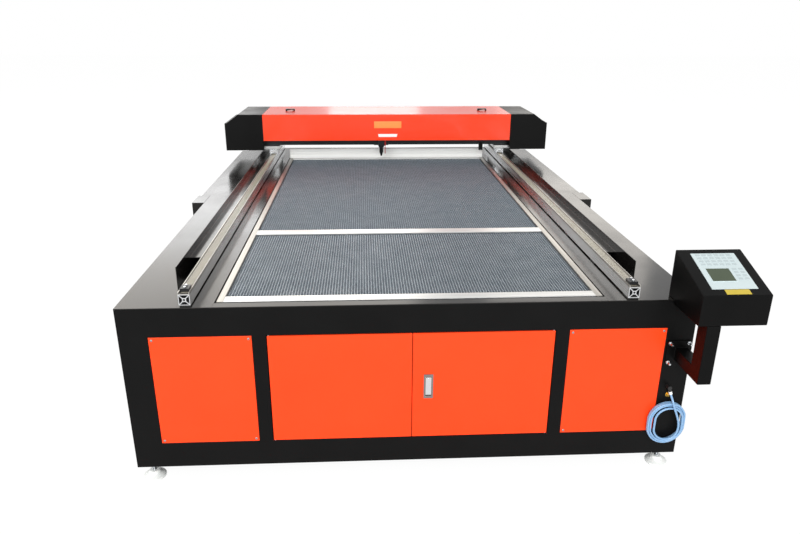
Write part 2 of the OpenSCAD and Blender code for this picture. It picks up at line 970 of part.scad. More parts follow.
module console_bolts() {
    color("#e6e8ea")
        for (x = [-1, 1] * bolt_span[0] / 2, z = [-1, 1] * bolt_span[1] / 2)
            translate([flange_x + x, -flange_t, flange_z + z])
                rotate([90, 0, 0]) {
                    cylinder(r = bolt_r, h = bolt_l);
                    cylinder(r = bolt_nut_r, h = bolt_nut_h, $fn = 6);
                }
}

// Sloping box that hooks over the cabinet's front edge
module console_box() {
    color("#161616")
        profile_along_x([console_x, console_x + console_w])
            polygon([
                [-console_reach, console_z], [-console_reach, console_top], [console_seat, console_back_top],
                [console_seat, deck_z], [0, deck_z], [0, console_z]
            ]);
}

// Local frame of the console's top: X across, Y up the slope, Z out of it
module on_console() {
    translate([0, -console_reach, console_top])
        rotate([console_slope, 0, 0])
            children();
}

module console_keypad() {
    color("#dfe9e6")
        on_console()
            translate([keypad_x, keypad_from, 0])
                cube([keypad_w, keypad_l, keypad_t]);
}

module console_screen() {
    color("#5c7052")
        on_console()
            translate([screen_x, screen_from, keypad_t])
                cube([screen_w, screen_l, screen_t]);
}

module console_plate() {
    color("#e0c53a")
        on_console()
            translate([plate_x, plate_from, 0])
                cube([plate_w, plate_l, plate_thick]);
}

// Air fitting, earth stud and hose

module air_fitting() {
    color("#2a2b2d") {
        translate([fitting_at[0], 0, fitting_at[1]])
            rotate([90, 0, 0])
                cylinder(r = fitting_r, h = fitting_l);
        translate([fitting_at[0], hose_y, fitting_at[1]])
            rotate([0, 180 - elbow_lean, 0])
                cylinder(r = elbow_r, h = elbow_l);
    }
}

module earth_stud() {
    color("#c9a93a")
        translate([earth_at[0], 0, earth_at[1]])
            rotate([90, 0, 0]) {
                cylinder(r = earth_tag_r, h = earth_tag_t);
                cylinder(r = earth_r, h = earth_l);
            }
}

function unit(v) = v / norm(v);
function heading(path, i) =
    unit(path[min(i + 1, len(path) - 1)] - path[max(i - 1, 0)]);
function ring(path, i, r, sides) =
    let (t = heading(path, i), n = unit(cross(t, [0, 1, 0])), b = cross(t, n))
        [for (k = [0:sides - 1]) path[i] + r * (n * cos(360 * k / sides) + b * sin(360 * k / sides))];

// Round tube swept along a list of points
module swept_tube(path, r, sides) {
    last = len(path) - 1;
    points = [for (i = [0:last]) each ring(path, i, r, sides)];
    walls = [
        for (i = [0:last - 1], k = [0:sides - 1])
            let (a = i * sides + k, b = i * sides + (k + 1) % sides)
                [a, b, b + sides, a + sides]
    ];
    start = [for (k = [sides - 1:-1:0]) k];
    end = [for (k = [0:sides - 1]) last * sides + k];
    polyhedron(points, concat([start, end], walls), convexity = 6);
}

module air_hose() {
    color("#7fa8d6")
        swept_tube(hose_route, hose_d / 2, hose_sides);
}

// Section of the wound hose, its corners cut back
module coil_section() {
    depth = coil_y[1] - coil_y[0];
    inner = coil_r - coil_w / 2;
    outer = coil_r + coil_w / 2;
    polygon([
        [inner + coil_soft, 0], [outer - coil_soft, 0], [outer, coil_soft], [outer, depth - coil_soft],
        [outer - coil_soft, depth], [inner + coil_soft, depth], [inner, depth - coil_soft], [inner, coil_soft]
    ]);
}

// Hanging coil: a bend above and below, with a straight run on each side
module air_hose_coil() {
    color("#6f9fd4")
        translate([coil_at[0], coil_y[1], coil_at[1]])
            rotate([90, 0, 0])
                for (turn = [0, 180])
                    rotate(turn)
                        translate([0, coil_straight / 2, 0]) {
                            rotate_extrude(angle = 180, $fn = 64) coil_section();
                            rotate([90, 0, 0]) linear_extrude(coil_straight) coil_section();
                        }
}

// Gantry

// Hollow cross beam
module gantry_beam() {
    color("#1d1d1f")
        difference() {
            block([-beam_x, beam_x], [beam_y, beam_y + beam_d], [beam_z, beam_z + beam_h]);
            block([-beam_x - eps, beam_x + eps], [beam_y + beam_wall, beam_y + beam_d - beam_wall],
                  [beam_z + beam_wall, beam_z + beam_h - beam_wall]);
        }
}

module carriage_plates() {
    color("#8d9195")
        both_sides()
            block(carriage_x, carriage_y, [beam_z - carriage_t, beam_z]);
}

// Sealed drive motors that stand on the carriage plates inside the end housings
module drive_motors() {
    half = motor_s / 2;
    flat = half - motor_cut;
    color("#1a1a1a")
        both_sides()
            translate([motor_x, beam_y + beam_d + motor_gap + half, beam_z + half])
                rotate([90, 0, 90]) {
                    linear_extrude(motor_l)
                        polygon([
                            [-flat, -half], [flat, -half], [half, -flat], [half, flat],
                            [flat, half], [-flat, half], [-half, flat], [-half, -flat]
                        ]);
                    translate([0, 0, -motor_boss_h])
                        cylinder(r = motor_boss_r, h = motor_boss_h);
                    translate([0, 0, -motor_boss_h - shaft_l])
                        cylinder(r = shaft_r, h = shaft_l);
                }
}

module head_guide_rail() {
    color("#b8bcc0")
        block([-guide_x, guide_x], [beam_y - guide_d, beam_y], [guide_z, guide_z + guide_h]);
}

module limit_bracket() {
    color("#141414")
        block([limit_x, limit_x + limit_w], [beam_y - limit_d, beam_y], limit_z);
}

// Four grooved blocks that run over the lips of the guide channels
module bearing_blocks() {
    top = beam_z - carriage_t;
    in_half = rail_s / 2 + skirt_gap;
    out_half = block_w / 2;
    skirt_z = lip_top - skirt_h;
    color("#c4c8cc")
        both_sides()
            for (y = block_y)
                profile_along_y([y, y + block_l])
                    translate([rail_x, 0])
                        polygon([
                            [-out_half, top], [-out_half, skirt_z], [-in_half, skirt_z],
                            [-in_half, lip_top + run], [in_half, lip_top + run], [in_half, skirt_z],
                            [out_half, skirt_z], [out_half, top]
                        ]);
}

// Folded front and rear covers and the tray that carries the laser tube
module gantry_covers() {
    t = cover_t;
    under_lid = top_z - lid_t;
    front = gantry_y;
    rear = back_y;
    tray_front = beam_y + beam_d;
    color("#ff4123")
        profile_along_x([-cover_x, cover_x]) {
            polygon([
                [front, cover_z], [front + cover_foot, cover_z], [front + cover_foot, cover_z + t],
                [front + t, cover_z + t], [front + t, under_lid - t], [front + cover_flange, under_lid - t],
                [front + cover_flange, under_lid], [front, under_lid]
            ]);
            polygon([
                [rear, cover_z], [rear - cover_foot, cover_z], [rear - cover_foot, tray_z],
                [tray_front, tray_z], [tray_front, tray_z + tray_t], [rear - t, tray_z + tray_t],
                [rear - t, under_lid - t], [rear - cover_flange, under_lid - t],
                [rear - cover_flange, under_lid], [rear, under_lid]
            ]);
        }
    color("#ff4123")
        for (x = hinge_xs)
            hinge_ears(x);
}

// Two fixed ears of one lid hinge, bored for its pin
module hinge_ears(x) {
    ear_l = knuckle_l / 2;
    from = knuckle_l / 2 + knuckle_gap;
    difference() {
        for (s = [-1, 1])
            translate([x + s * (from + ear_l / 2), 0, 0]) {
                translate([-ear_l / 2, hinge_y, hinge_z])
                    rotate([0, 90, 0])
                        cylinder(r = hinge_r, h = ear_l);
                block([-ear_l / 2, ear_l / 2], [back_y - cover_t, hinge_y],
                      [hinge_z - hinge_r, hinge_z - hinge_r + cover_t]);
            }
        hinge_bore(x, hinge_pin_r + fit);
    }
}

// Round bar or bore along the axis of one lid hinge
module hinge_bore(x, r) {
    length = 2 * (knuckle_l + knuckle_gap);
    translate([x - length / 2, hinge_y, hinge_z])
        rotate([0, 90, 0])
            cylinder(r = r, h = length);
}

module lid_hinge_pins() {
    color("#b0b4b8")
        for (x = hinge_xs)
            hinge_bore(x, hinge_pin_r);
}

// Folded end housings: sloping shoulder, open below and towards the cover
module end_housings() {
    t = cover_t;
    brow_z = top_z - shoulder_h + brow_h;
    outer = [
        [cover_x, housing_z], [end_x, housing_z], [end_x, top_z - shoulder_h],
        [end_x - brow_w, brow_z], [end_x - shoulder_w, top_z], [cover_x, top_z]
    ];
    inner = [
        [cover_x - eps, housing_z - eps], [end_x - t, housing_z - eps], [end_x - t, top_z - shoulder_h - t],
        [end_x - brow_w - t / 2, brow_z - t], [end_x - shoulder_w - t / 2, top_z - t],
        [cover_x - eps, top_z - t]
    ];
    color("#131313")
        both_sides()
            difference() {
                profile_along_y([gantry_y, back_y]) polygon(outer);
                profile_along_y([gantry_y + t, back_y - t]) polygon(inner);
            }
}

module laser_tube() {
    color("#c7dbe0", 0.6)
        translate([0, tube_y, tube_z])
            rotate([0, 90, 0]) {
                cylinder(d = tube_d, h = tube_l - 2 * cap_l, center = true);
                cylinder(r = cap_r, h = tube_l, center = true);
            }
}

// Two ring mounts for the tube, and the three mirror stands of the beam path
module tube_mounts() {
    ring_r = tube_d / 2 + clamp_ring_t;
    floor_z = tray_z + tray_t;
    color("#9a9ea2")
        both_sides()
            difference() {
                union() {
                    translate([clamp_x, tube_y, tube_z])
                        rotate([0, 90, 0])
                            cylinder(r = ring_r, h = clamp_ring_l);
                    block([clamp_x, clamp_x + clamp_ring_l], [tube_y - ring_r, tube_y + ring_r],
                          [floor_z, tube_z]);
                }
                translate([clamp_x - eps, tube_y, tube_z])
                    rotate([0, 90, 0])
                        cylinder(d = tube_d + 2 * fit, h = clamp_ring_l + 2 * eps);
            }
    color("#9a9ea2")
        translate([tube_l / 2 + mirror_post, tube_y, floor_z]) {
            translate([0, -mirror_post / 2, 0])
                cube([mirror_t, mirror_post, tube_z - floor_z]);
            translate([0, 0, tube_z - floor_z])
                rotate([0, 90, 0])
                    cylinder(d = mirror_s, h = mirror_t);
        }
}

// Hinged lid over the laser tube
module gantry_lid() {
    color("#ff4a2a") {
        block([lid_play - cover_x, cover_x - lid_play], [gantry_y, back_y], [top_z - lid_t, top_z]);
        for (x = hinge_xs)
            difference() {
                union() {
                    translate([x - knuckle_l / 2, hinge_y, hinge_z])
                        rotate([0, 90, 0])
                            cylinder(r = hinge_r, h = knuckle_l);
                    block([x - knuckle_l / 2, x + knuckle_l / 2], [back_y - eps, hinge_y],
                          [top_z - lid_t, top_z]);
                }
                hinge_bore(x, hinge_pin_r + fit);
            }
    }
}

// Two bow handles on the lid
module lid_handles() {
    color("#141414")
        both_sides()
            translate([handle_x - handle_l / 2, handle_y - handle_d / 2, top_z])
                difference() {
                    cube([handle_l, handle_d, handle_h]);
                    translate([handle_foot, -eps, -eps])
                        cube([handle_l - 2 * handle_foot, handle_d + 2 * eps, handle_h - handle_bar + eps]);
                }
}

// Laser head

// Grooved slide that runs on the guide rail
module head_slide() {
    color("#c4c8cc")
        difference() {
            block([head_x - slide_w / 2, head_x + slide_w / 2], slide_y, slide_z);
            block([head_x - slide_w, head_x + slide_w], [beam_y - guide_d - run, beam_y],
                  [guide_z - run, guide_z + guide_h + run]);
        }
}

// Mounting plate and mirror block with the sleeve of the lens tube
module laser_head() {
    bore_z = plate_z[0] - sleeve_h;
    plate_half = head_plate_w / 2;
    color("#26282b")
        translate([head_x, 0, 0])
            difference() {
                union() {
                    block([-plate_half, plate_half], [plate_y, plate_y + plate_t], plate_z);
                    block([-block_half, block_half], [lens_y - block_half, plate_y], mirror_block_z);
                    translate([0, lens_y, bore_z])
                        cylinder(r = block_half - sleeve_step, h = sleeve_h);
                }
                translate([0, lens_y, bore_z - eps])
                    cylinder(r = lens_bore_r, h = mirror_block_z[1] - block_roof - bore_z + eps);
            }
}

// Red pointer beside the mirror block, with its lead
module pointer() {
    color("#b3261e")
        translate([head_x + block_half + pointer_r, lens_y, plate_z[0]]) {
            cylinder(r = pointer_r, h = pointer_l);
            translate([0, 0, -lead_l])
                cylinder(r = lead_r, h = lead_l);
        }
}

// Lens tube that slides in the head's sleeve, with its nozzle
module focus_tube() {
    wall = 4;
    step = 2;
    r = lens_tube_d / 2;
    cone_top = nozzle_z + nozzle_h;
    color("#1b1b1d")
        translate([head_x, lens_y, 0])
            difference() {
                rotate_extrude()
                    polygon([
                        [0, nozzle_z], [nozzle_tip_r, nozzle_z], [r - step, cone_top], [r, cone_top],
                        [r, lens_tube_top], [0, lens_tube_top]
                    ]);
                translate([0, 0, cone_top])
                    cylinder(d = lens_tube_d - 2 * wall, h = lens_tube_top - cone_top + eps);
                translate([0, 0, nozzle_z - eps])
                    cylinder(d = nozzle_tip_r, h = nozzle_h + 2 * eps);
            }
}

in_frame() front_frame();
in_frame() side_skins();
in_frame() rear_skin();
in_frame() base_pan();
in_frame() frame_posts();
in_frame() deck_ends();
in_frame() deck_sides();
in_frame() front_panels();
in_frame() panel_screws();
in_frame() door_pivots();
in_frame() foot_studs();
in_frame() foot_nuts();
in_frame() foot_pads();
in_frame() bed_side_bars();
in_frame() bed_cross_bars();
in_frame() bed_bearers();
in_frame() honeycomb_front();
in_frame() honeycomb_rear();
in_frame() rail_tubes();
in_frame() rail_pads();
in_frame() guide_channels();
in_frame() drive_belts();
in_frame() belt_clamps();
in_frame() clamp_bolts();
in_frame() rail_guards();
in_frame() rear_fence();
in_frame() cable_ducts();
in_frame() laser_power_supply();
in_frame() motion_controller();
in_frame() console_arm();
in_frame() console_bolts();
in_frame() console_box();
in_frame() console_keypad();
in_frame() console_screen();
in_frame() console_plate();
in_frame() air_fitting();
in_frame() earth_stud();
in_frame() air_hose();
in_frame() air_hose_coil();
in_frame() door_left();
in_frame() door_right();
in_frame() door_lock();
in_frame() lock_lever();
in_frame() gantry_beam();
in_frame() carriage_plates();
in_frame() drive_motors();
in_frame() head_guide_rail();
in_frame() limit_bracket();
in_frame() bearing_blocks();
in_frame() gantry_covers();
in_frame() end_housings();
in_frame() laser_tube();
in_frame() tube_mounts();
in_frame() lid_hinge_pins();
in_frame() gantry_lid();
in_frame() lid_handles();
in_frame() head_slide();
in_frame() laser_head();
in_frame() pointer();
in_frame() focus_tube();
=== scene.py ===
# %% [markdown]
# # A flat-bed laser engraving machine
#
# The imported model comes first. It is the fixed frame: every solid already has its true size and place, in
# metres, with X to the machine's right, Y from the front face to the rear and Z up. This lesson dresses
# that frame: it rounds the sheet metal, lays the honeycomb, coils the air hose and gives every surface its
# finish.

# %% Load the frame
import json
import math

import bpy
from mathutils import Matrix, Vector


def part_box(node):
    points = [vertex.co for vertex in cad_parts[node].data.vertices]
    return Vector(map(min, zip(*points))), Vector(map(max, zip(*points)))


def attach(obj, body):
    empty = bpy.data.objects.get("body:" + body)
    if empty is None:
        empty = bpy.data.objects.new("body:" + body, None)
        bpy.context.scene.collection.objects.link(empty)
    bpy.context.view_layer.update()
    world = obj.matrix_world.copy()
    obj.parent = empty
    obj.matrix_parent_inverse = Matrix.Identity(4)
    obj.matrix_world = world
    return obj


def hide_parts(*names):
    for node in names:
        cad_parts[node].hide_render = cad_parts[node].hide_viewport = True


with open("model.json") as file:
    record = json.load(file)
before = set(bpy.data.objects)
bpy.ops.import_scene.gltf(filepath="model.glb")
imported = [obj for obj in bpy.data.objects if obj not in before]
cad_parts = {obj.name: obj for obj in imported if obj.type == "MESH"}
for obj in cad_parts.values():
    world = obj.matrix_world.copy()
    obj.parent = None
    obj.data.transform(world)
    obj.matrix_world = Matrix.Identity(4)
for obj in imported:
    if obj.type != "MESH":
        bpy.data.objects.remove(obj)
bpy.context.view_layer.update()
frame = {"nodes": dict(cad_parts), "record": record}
MM = 0.001
nodes = frame["nodes"]
body_of_node = {
    node: body for body, members in frame["record"]["behaviour"]["bodies"].items() for node in members
}
slot_of_node = {part["node"]: part["material_slot"] for part in frame["record"]["subparts"]}


def span(node):
    """The two corners of a CAD node and its middle."""
    low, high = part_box(node)
    return low, high, (low + high) / 2


# %% [markdown]
# The camera stands in front of the machine, a little to the left, at about the height of a tall person's
# eyes, and looks down along the bed. Its place, its turn and its lens were worked out from the straight
# edges of the cabinet and of the bed, so the picture needs no lens shift.

# %% Camera
CAMERA_PLACE = (-0.1993, -3.5741, 1.6600)
CAMERA_TILT, CAMERA_ROLL, CAMERA_TURN = 69.659, -0.274, -3.045
LENS_MM, SENSOR_MM = 30.114, 36.0

bpy.ops.object.select_all(action="DESELECT")
bpy.ops.object.camera_add(
    location=CAMERA_PLACE,
    rotation=(math.radians(CAMERA_TILT), math.radians(CAMERA_ROLL), math.radians(CAMERA_TURN)),
)
camera = bpy.context.object
camera.name = "camera"
camera.data.lens = LENS_MM
camera.data.sensor_width = SENSOR_MM
bpy.context.scene.camera = camera
print(f"camera at {CAMERA_PLACE} with a {LENS_MM} mm lens")

# %% [markdown]
# The air hose is a blue polyurethane tube, 8 mm thick. It leaves the leaning elbow, passes in front of its
# own coil and joins it from the inside as one loose turn. The coil hangs as an oval: a bend above, a bend
# below and a short straight run on each side, and its size and place come from the solid that stands for
# it. The turns lie beside each other and then climb to the next layer.

# %% Route of the air hose
HOSE_DIAMETER = 8 * MM
HOSE_LENGTH = 2.80
HOSE_EXIT = Vector((0.93166, -1.4460, 0.35909))
HOSE_STEPS_MM = [
    (0, 0, 0), (6, -1, -17), (11, -7, -33), (15, -14, -49), (20, -18, -66), (27, -18, -82), (34, -16, -98),
    (41, -13, -114), (47, -10, -131), (50, -9, -148), (49, -9, -166), (44, -9, -183), (33, -9, -197),
]
POINTS_A_TURN = 26
STEPS_BETWEEN = 3
LAYER_PITCH = 8.3 * MM
coil_low, coil_high, coil_middle = span("air_hose_coil")
coil_bend = (coil_high.x - coil_low.x) / 2
coil_half_run = (coil_high.z - coil_low.z) / 2 - coil_bend
outer_layer = coil_bend - HOSE_DIAMETER / 2
inner_layer = outer_layer - LAYER_PITCH
coil_front, coil_back = coil_low.y + HOSE_DIAMETER / 2, coil_high.y - HOSE_DIAMETER / 2
# Each row is the turn, the radius and the depth there: a loose turn, then about two turns to each layer
COIL_PLAN = [
    (0.16, 53.0 * MM, HOSE_EXIT.y - 9.0 * MM),
    (0.30, 52.5 * MM, HOSE_EXIT.y - 7.5 * MM),
    (0.50, 48.0 * MM, HOSE_EXIT.y - 8.0 * MM),
    (0.75, 53.0 * MM, HOSE_EXIT.y - 9.0 * MM),
    (1.10, inner_layer, coil_front),
    (3.10, inner_layer, coil_back),
    (3.80, outer_layer, coil_back),
    (6.00, outer_layer, coil_front),
]


def coil_point(turn):
    """The place on the coil after so many turns, clockwise as seen from the front."""
    for (turn_a, radius_a, depth_a), (turn_b, radius_b, depth_b) in zip(COIL_PLAN, COIL_PLAN[1:]):
        if turn <= turn_b:
            share = (turn - turn_a) / (turn_b - turn_a)
            radius = radius_a + (radius_b - radius_a) * share
            depth = depth_a + (depth_b - depth_a) * share
            break
    angle = -math.tau * turn
    bend_z = coil_middle.z + math.copysign(coil_half_run, math.sin(angle))
    return Vector((coil_middle.x + radius * math.cos(angle), depth, bend_z + radius * math.sin(angle)))


def smooth_line(points):
    """The same line with smooth steps between its points."""
    line = [points[0]]
    for a, b, c, d in zip([points[0], *points], points, points[1:], [*points[2:], points[-1]]):
        for step in range(1, STEPS_BETWEEN + 1):
            t = step / STEPS_BETWEEN
            slope = (c - a) * t
            bend = (2 * a - 5 * b + 4 * c - d) * t**2
            twist = (3 * b - a - 3 * c + d) * t**3
            line.append(b + (slope + bend + twist) / 2)
    return line


first_turn, last_turn = COIL_PLAN[0][0], COIL_PLAN[-1][0]
coil_points = int((last_turn - first_turn) * POINTS_A_TURN)
full_route = smooth_line(
    [HOSE_EXIT + Vector(step) * MM for step in HOSE_STEPS_MM]
    + [coil_point(first_turn + i / POINTS_A_TURN) for i in range(1, coil_points + 1)]
)
hose_route, hose_run = full_route[:1], 0.0
for place in full_route[1:]:
    step = place - hose_route[-1]
    if hose_run + step.length > HOSE_LENGTH:
        hose_route.append(hose_route[-1] + step * ((HOSE_LENGTH - hose_run) / step.length))
        hose_run = HOSE_LENGTH
        break
    hose_route.append(place)
    hose_run += step.length
print(f"hose route of {len(hose_route)} points, {hose_run:.3f} m")

# %% [markdown]
# A curve with a round bevel is the natural way to draw a hose. The bevel has a depth of one metre and each
# point a radius of 4 mm, because a curve's box also counts the radius of its points.

# %% Air hose
HOSE_ROUND_STEPS = 4
hose_curve = bpy.data.curves.new("air_hose_tube", "CURVE")
hose_curve.dimensions = "3D"
hose_curve.bevel_depth = 1.0
hose_curve.bevel_resolution = HOSE_ROUND_STEPS
hose_curve.use_fill_caps = True
hose_line = hose_curve.splines.new("POLY")
hose_line.points.add(len(hose_route) - 1)
for point, place in zip(hose_line.points, hose_route):
    point.co = (*place, 1.0)
    point.radius = HOSE_DIAMETER / 2
hose_line.use_smooth = True
hose = bpy.data.objects.new("air_hose_tube", hose_curve)
bpy.context.collection.objects.link(hose)
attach(hose, "machine")
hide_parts("air_hose", "air_hose_coil")

# %% [markdown]
# Every finish reads the object's own coordinates in metres, so a pattern's size is a real size: a noise of
# scale 1000 / s has features about s millimetres across. One function adds a node with its settings and
# links. `make_finish` is the common recipe: two near colours drift into each other over large patches, the
# gloss drifts with them, and a fine grain gives the relief that a coat, a casting or an extrusion has.

# %% Material tools
def linear(hex_colour):
    """An sRGB hex value as linear red, green, blue and alpha."""
    parts = [int(hex_colour[i : i + 2], 16) / 255 for i in (1, 3, 5)]
    return (*[c / 12.92 if c <= 0.04045 else ((c + 0.055) / 1.055) ** 2.4 for c in parts], 1.0)


def add_node(tree, kind, settings, inputs):
    """Add a node, set its options, and set or link its inputs."""
    node = tree.nodes.new(kind)
    for name, value in settings.items():
        setattr(node, name, value)
    for name, value in inputs.items():
        if isinstance(value, bpy.types.NodeSocket):
            tree.links.new(value, node.inputs[name])
        else:
            node.inputs[name].default_value = value
    return node


# The Mix node's colour sockets share names with its number sockets, so they are reached by their place
MIX_A, MIX_B, MIX_RESULT = 6, 7, 2
# A noise keeps to the middle of its range, so the gloss follows only the part between these two
PATCH_LOW, PATCH_HIGH = 0.3, 0.7
PATCH_DETAIL, PATCH_ROUGHNESS, GRAIN_DETAIL = 4.0, 0.6, 2.0


def make_finish(name, colours, patch_mm, roughness, grain_mm, grain_depth_mm, stretch=(1, 1, 1), **sockets):
    """A procedural finish with drifting colour and gloss and a fine grain."""
    material = bpy.data.materials.new(name)
    material.use_nodes = True
    tree = material.node_tree
    shader = tree.nodes["Principled BSDF"]
    place = add_node(tree, "ShaderNodeTexCoord", {}, {}).outputs["Object"]
    place = add_node(tree, "ShaderNodeMapping", {}, {"Vector": place, "Scale": stretch}).outputs["Vector"]
    patches = add_node(
        tree, "ShaderNodeTexNoise", {},
        {"Vector": place, "Scale": 1000 / patch_mm, "Detail": PATCH_DETAIL, "Roughness": PATCH_ROUGHNESS},
    ).outputs["Fac"]
    colour = add_node(
        tree, "ShaderNodeMix", {"data_type": "RGBA"},
        {"Factor": patches, MIX_A: linear(colours[0]), MIX_B: linear(colours[1])},
    ).outputs[MIX_RESULT]
    gloss = add_node(
        tree, "ShaderNodeMapRange", {},
        {
            "Value": patches, "From Min": PATCH_LOW, "From Max": PATCH_HIGH,
            "To Min": roughness[0], "To Max": roughness[1],
        },
    ).outputs["Result"]
    grain = add_node(
        tree, "ShaderNodeTexNoise", {}, {"Vector": place, "Scale": 1000 / grain_mm, "Detail": GRAIN_DETAIL},
    ).outputs["Fac"]
    relief = add_node(
        tree, "ShaderNodeBump", {}, {"Height": grain, "Strength": 1.0, "Distance": grain_depth_mm * MM},
    ).outputs["Normal"]
    tree.links.new(colour, shader.inputs["Base Color"])
    tree.links.new(gloss, shader.inputs["Roughness"])
    tree.links.new(relief, shader.inputs["Normal"])
    for socket, value in sockets.items():
        shader.inputs[socket.replace("_", " ")].default_value = value
    return material


print("material tools ready")

# %% [markdown]
# The cabinet, the end housings, the console and the arm have a black powder coat: a baked plastic skin with
# a fine orange-peel texture, dull enough to stay black where it faces the room. The deck, the guards and
# the cable ducts are the same black in a glossier enamel, and seen at a low angle they mirror the bright
# wall behind the machine, as any clear paint does. The doors and panels are orange powder coat, and the
# gantry's cover and lid are orange enamel. The grain of a coat is finer than the picture can show, so it is
# drawn a millimetre or more across.

# %% Coats
# Powder coat: soft, spread-out highlights
black_coat = make_finish(
    "black_powder_coat", ("#0B0B0B", "#101010"), 180, (0.32, 0.46), 1.6, 0.02, Specular_IOR_Level=0.08,
)
console_coat = make_finish(
    "black_console_coat", ("#060606", "#0A0A0A"), 120, (0.32, 0.46), 1.6, 0.02, Specular_IOR_Level=0.08,
)
# Sprayed enamel: smooth, with long reflections that waver a little
black_enamel = make_finish(
    "gloss_black_enamel", ("#121110", "#1A1816"), 260, (0.12, 0.22), 9.0, 0.01, Specular_IOR_Level=0.25,
)
# Orange powder coat on flat sheet, even and almost without a highlight
orange_coat = make_finish(
    "orange_powder_coat", ("#FF4719", "#FA4012"), 220, (0.28, 0.40), 1.8, 0.02, Specular_IOR_Level=0.2,
)
# Orange enamel: bright where the cover faces the room. The lid's copy is a shade deeper: painted shade,
# because the lid mirrors more light.
orange_enamel = make_finish(
    "orange_gantry_enamel", ("#FF4724", "#FA401E"), 240, (0.12, 0.22), 8.0, 0.01, Specular_IOR_Level=0.35,
)
lid_painted_shade_enamel = make_finish(
    "orange_lid_painted_shade_enamel", ("#E64122", "#DC3B1C"), 240, (0.16, 0.26), 8.0, 0.01, Specular_IOR_Level=0.15,
)
# The grey paint of bought-in electronic boxes, plain and matt
grey_coat = make_finish("grey_case_paint", ("#8A9095", "#7F858A"), 120, (0.40, 0.50), 1.5, 0.02)
print("coats made")

# %% [markdown]
# Extruded aluminium keeps fine die lines along its length. The noise is stretched along that direction: the
# guide rails and side bars run along Y, and the cross bars and the fence run along X. Real lines are too
# fine to show, so they are drawn about two millimetres wide. A metal keeps the default IOR. The honeycomb
# is foil: its cut edges take a brighter copy of the foil, a painted highlight, and its walls a darker one,
# painted shade. The front field is seen more steeply, so its edges are painted brighter and its walls
# darker than the rear one's.

# %% Metals
ALONG_Y, ALONG_X = (1.0, 0.015, 1.0), (0.015, 1.0, 1.0)
# Drawn through a die: streaks of light along the bar
rail_aluminium = make_finish(
    "extruded_aluminium_lengthwise", ("#E2E3E4", "#CFD1D3"), 14, (0.22, 0.36), 2.2, 0.015, ALONG_Y,
    Metallic=1.0,
)
cross_aluminium = make_finish(
    "extruded_aluminium_crosswise", ("#C6C7C6", "#B4B5B4"), 14, (0.26, 0.40), 2.2, 0.015, ALONG_X,
    Metallic=1.0,
)
side_aluminium = make_finish(
    "anodised_aluminium_lengthwise", ("#A6A49E", "#96948E"), 14, (0.28, 0.42), 2.2, 0.015, ALONG_Y,
    Metallic=1.0,
)
channel_aluminium = make_finish(
    "worn_aluminium_lengthwise", ("#B4B1AC", "#9C9993"), 10, (0.30, 0.48), 1.6, 0.02, ALONG_Y, Metallic=1.0,
)
# Blasted with fine beads, and painted near white as a painted reflection of the bright room, almost without
# streaks
fence_painted_reflection_aluminium = make_finish(
    "blasted_aluminium_painted_reflection", ("#FAFAF8", "#F0F0ED"), 20, (0.45, 0.58), 1.2, 0.01, ALONG_X, Metallic=0.08,
)
# Foil: a painted highlight on the cut edges, and painted shade on the walls below them, falling off into grey
painted_highlight_cell_edges = make_finish(
    "honeycomb_foil_painted_highlight", ("#B5BFC7", "#9BA6AF"), 90, (0.42, 0.56), 3.0, 0.02, Metallic=0.75,
)
painted_deep_shade_cell_walls = make_finish(
    "honeycomb_foil_painted_deep_shade", ("#505A64", "#3F4952"), 90, (0.45, 0.60), 3.0, 0.02, Metallic=0.6,
)
comb_foil = make_finish(
    "aluminium_honeycomb_foil", ("#9FA9B1", "#88939C"), 90, (0.48, 0.62), 3.0, 0.02, Metallic=0.7,
)
painted_shade_cell_walls = make_finish(
    "honeycomb_foil_painted_shade", ("#7C868F", "#6A747D"), 90, (0.40, 0.55), 3.0, 0.02, Metallic=0.7,
)
# Steel painted dark as the shade under the open cells, with hardly a highlight
painted_shade_pan = make_finish(
    "dark_steel_painted_shade", ("#4A5158", "#3C4248"), 60, (0.45, 0.60), 2.0, 0.02, Metallic=0.4,
)
# Zinc and chrome plate: cool, hard highlights, softer where the plate is worn
dull_zinc = make_finish(
    "dulled_zinc_steel", ("#A3A5A7", "#8C8F92"), 9, (0.34, 0.46), 0.8, 0.005, Metallic=1.0,
)
zinc_steel = make_finish(
    "zinc_plated_steel", ("#D6D8DA", "#BFC3C6"), 9, (0.20, 0.36), 0.8, 0.005, Metallic=1.0,
)
chrome_plate = make_finish(
    "satin_chrome_plate", ("#E0E2E3", "#CFD2D4"), 20, (0.10, 0.20), 1.2, 0.004, Metallic=1.0,
)
worn_chrome = make_finish(
    "worn_chrome_plate", ("#9C9490", "#837B78"), 12, (0.16, 0.30), 1.2, 0.006, Metallic=1.0,
)
# Turned brass has a warm, tight highlight, and black anodising a dark grey sheen
brass = make_finish("turned_brass", ("#D3AC55", "#BF9640"), 8, (0.18, 0.30), 0.6, 0.005, Metallic=1.0)
black_anodise = make_finish(
    "black_anodised_aluminium", ("#1A1B1D", "#141517"), 30, (0.30, 0.42), 0.7, 0.006, Metallic=0.6,
)
print("metals made")

# %% [markdown]
# Plastics and rubber: the pads under the feet are pale nylon, the handles and rail pads are moulded black
# ABS with a fine spark-eroded grain, and the drive belts and the air hose are polyurethane, with a
# wet-looking gloss. The keypad and the plates are polyester film, the keys are silicone, the display has an
# acrylic window, and the laser tube is borosilicate glass, which is clear and lets the mounts show through.
# A moulded grain is too fine to show, so it is drawn about a millimetre across.

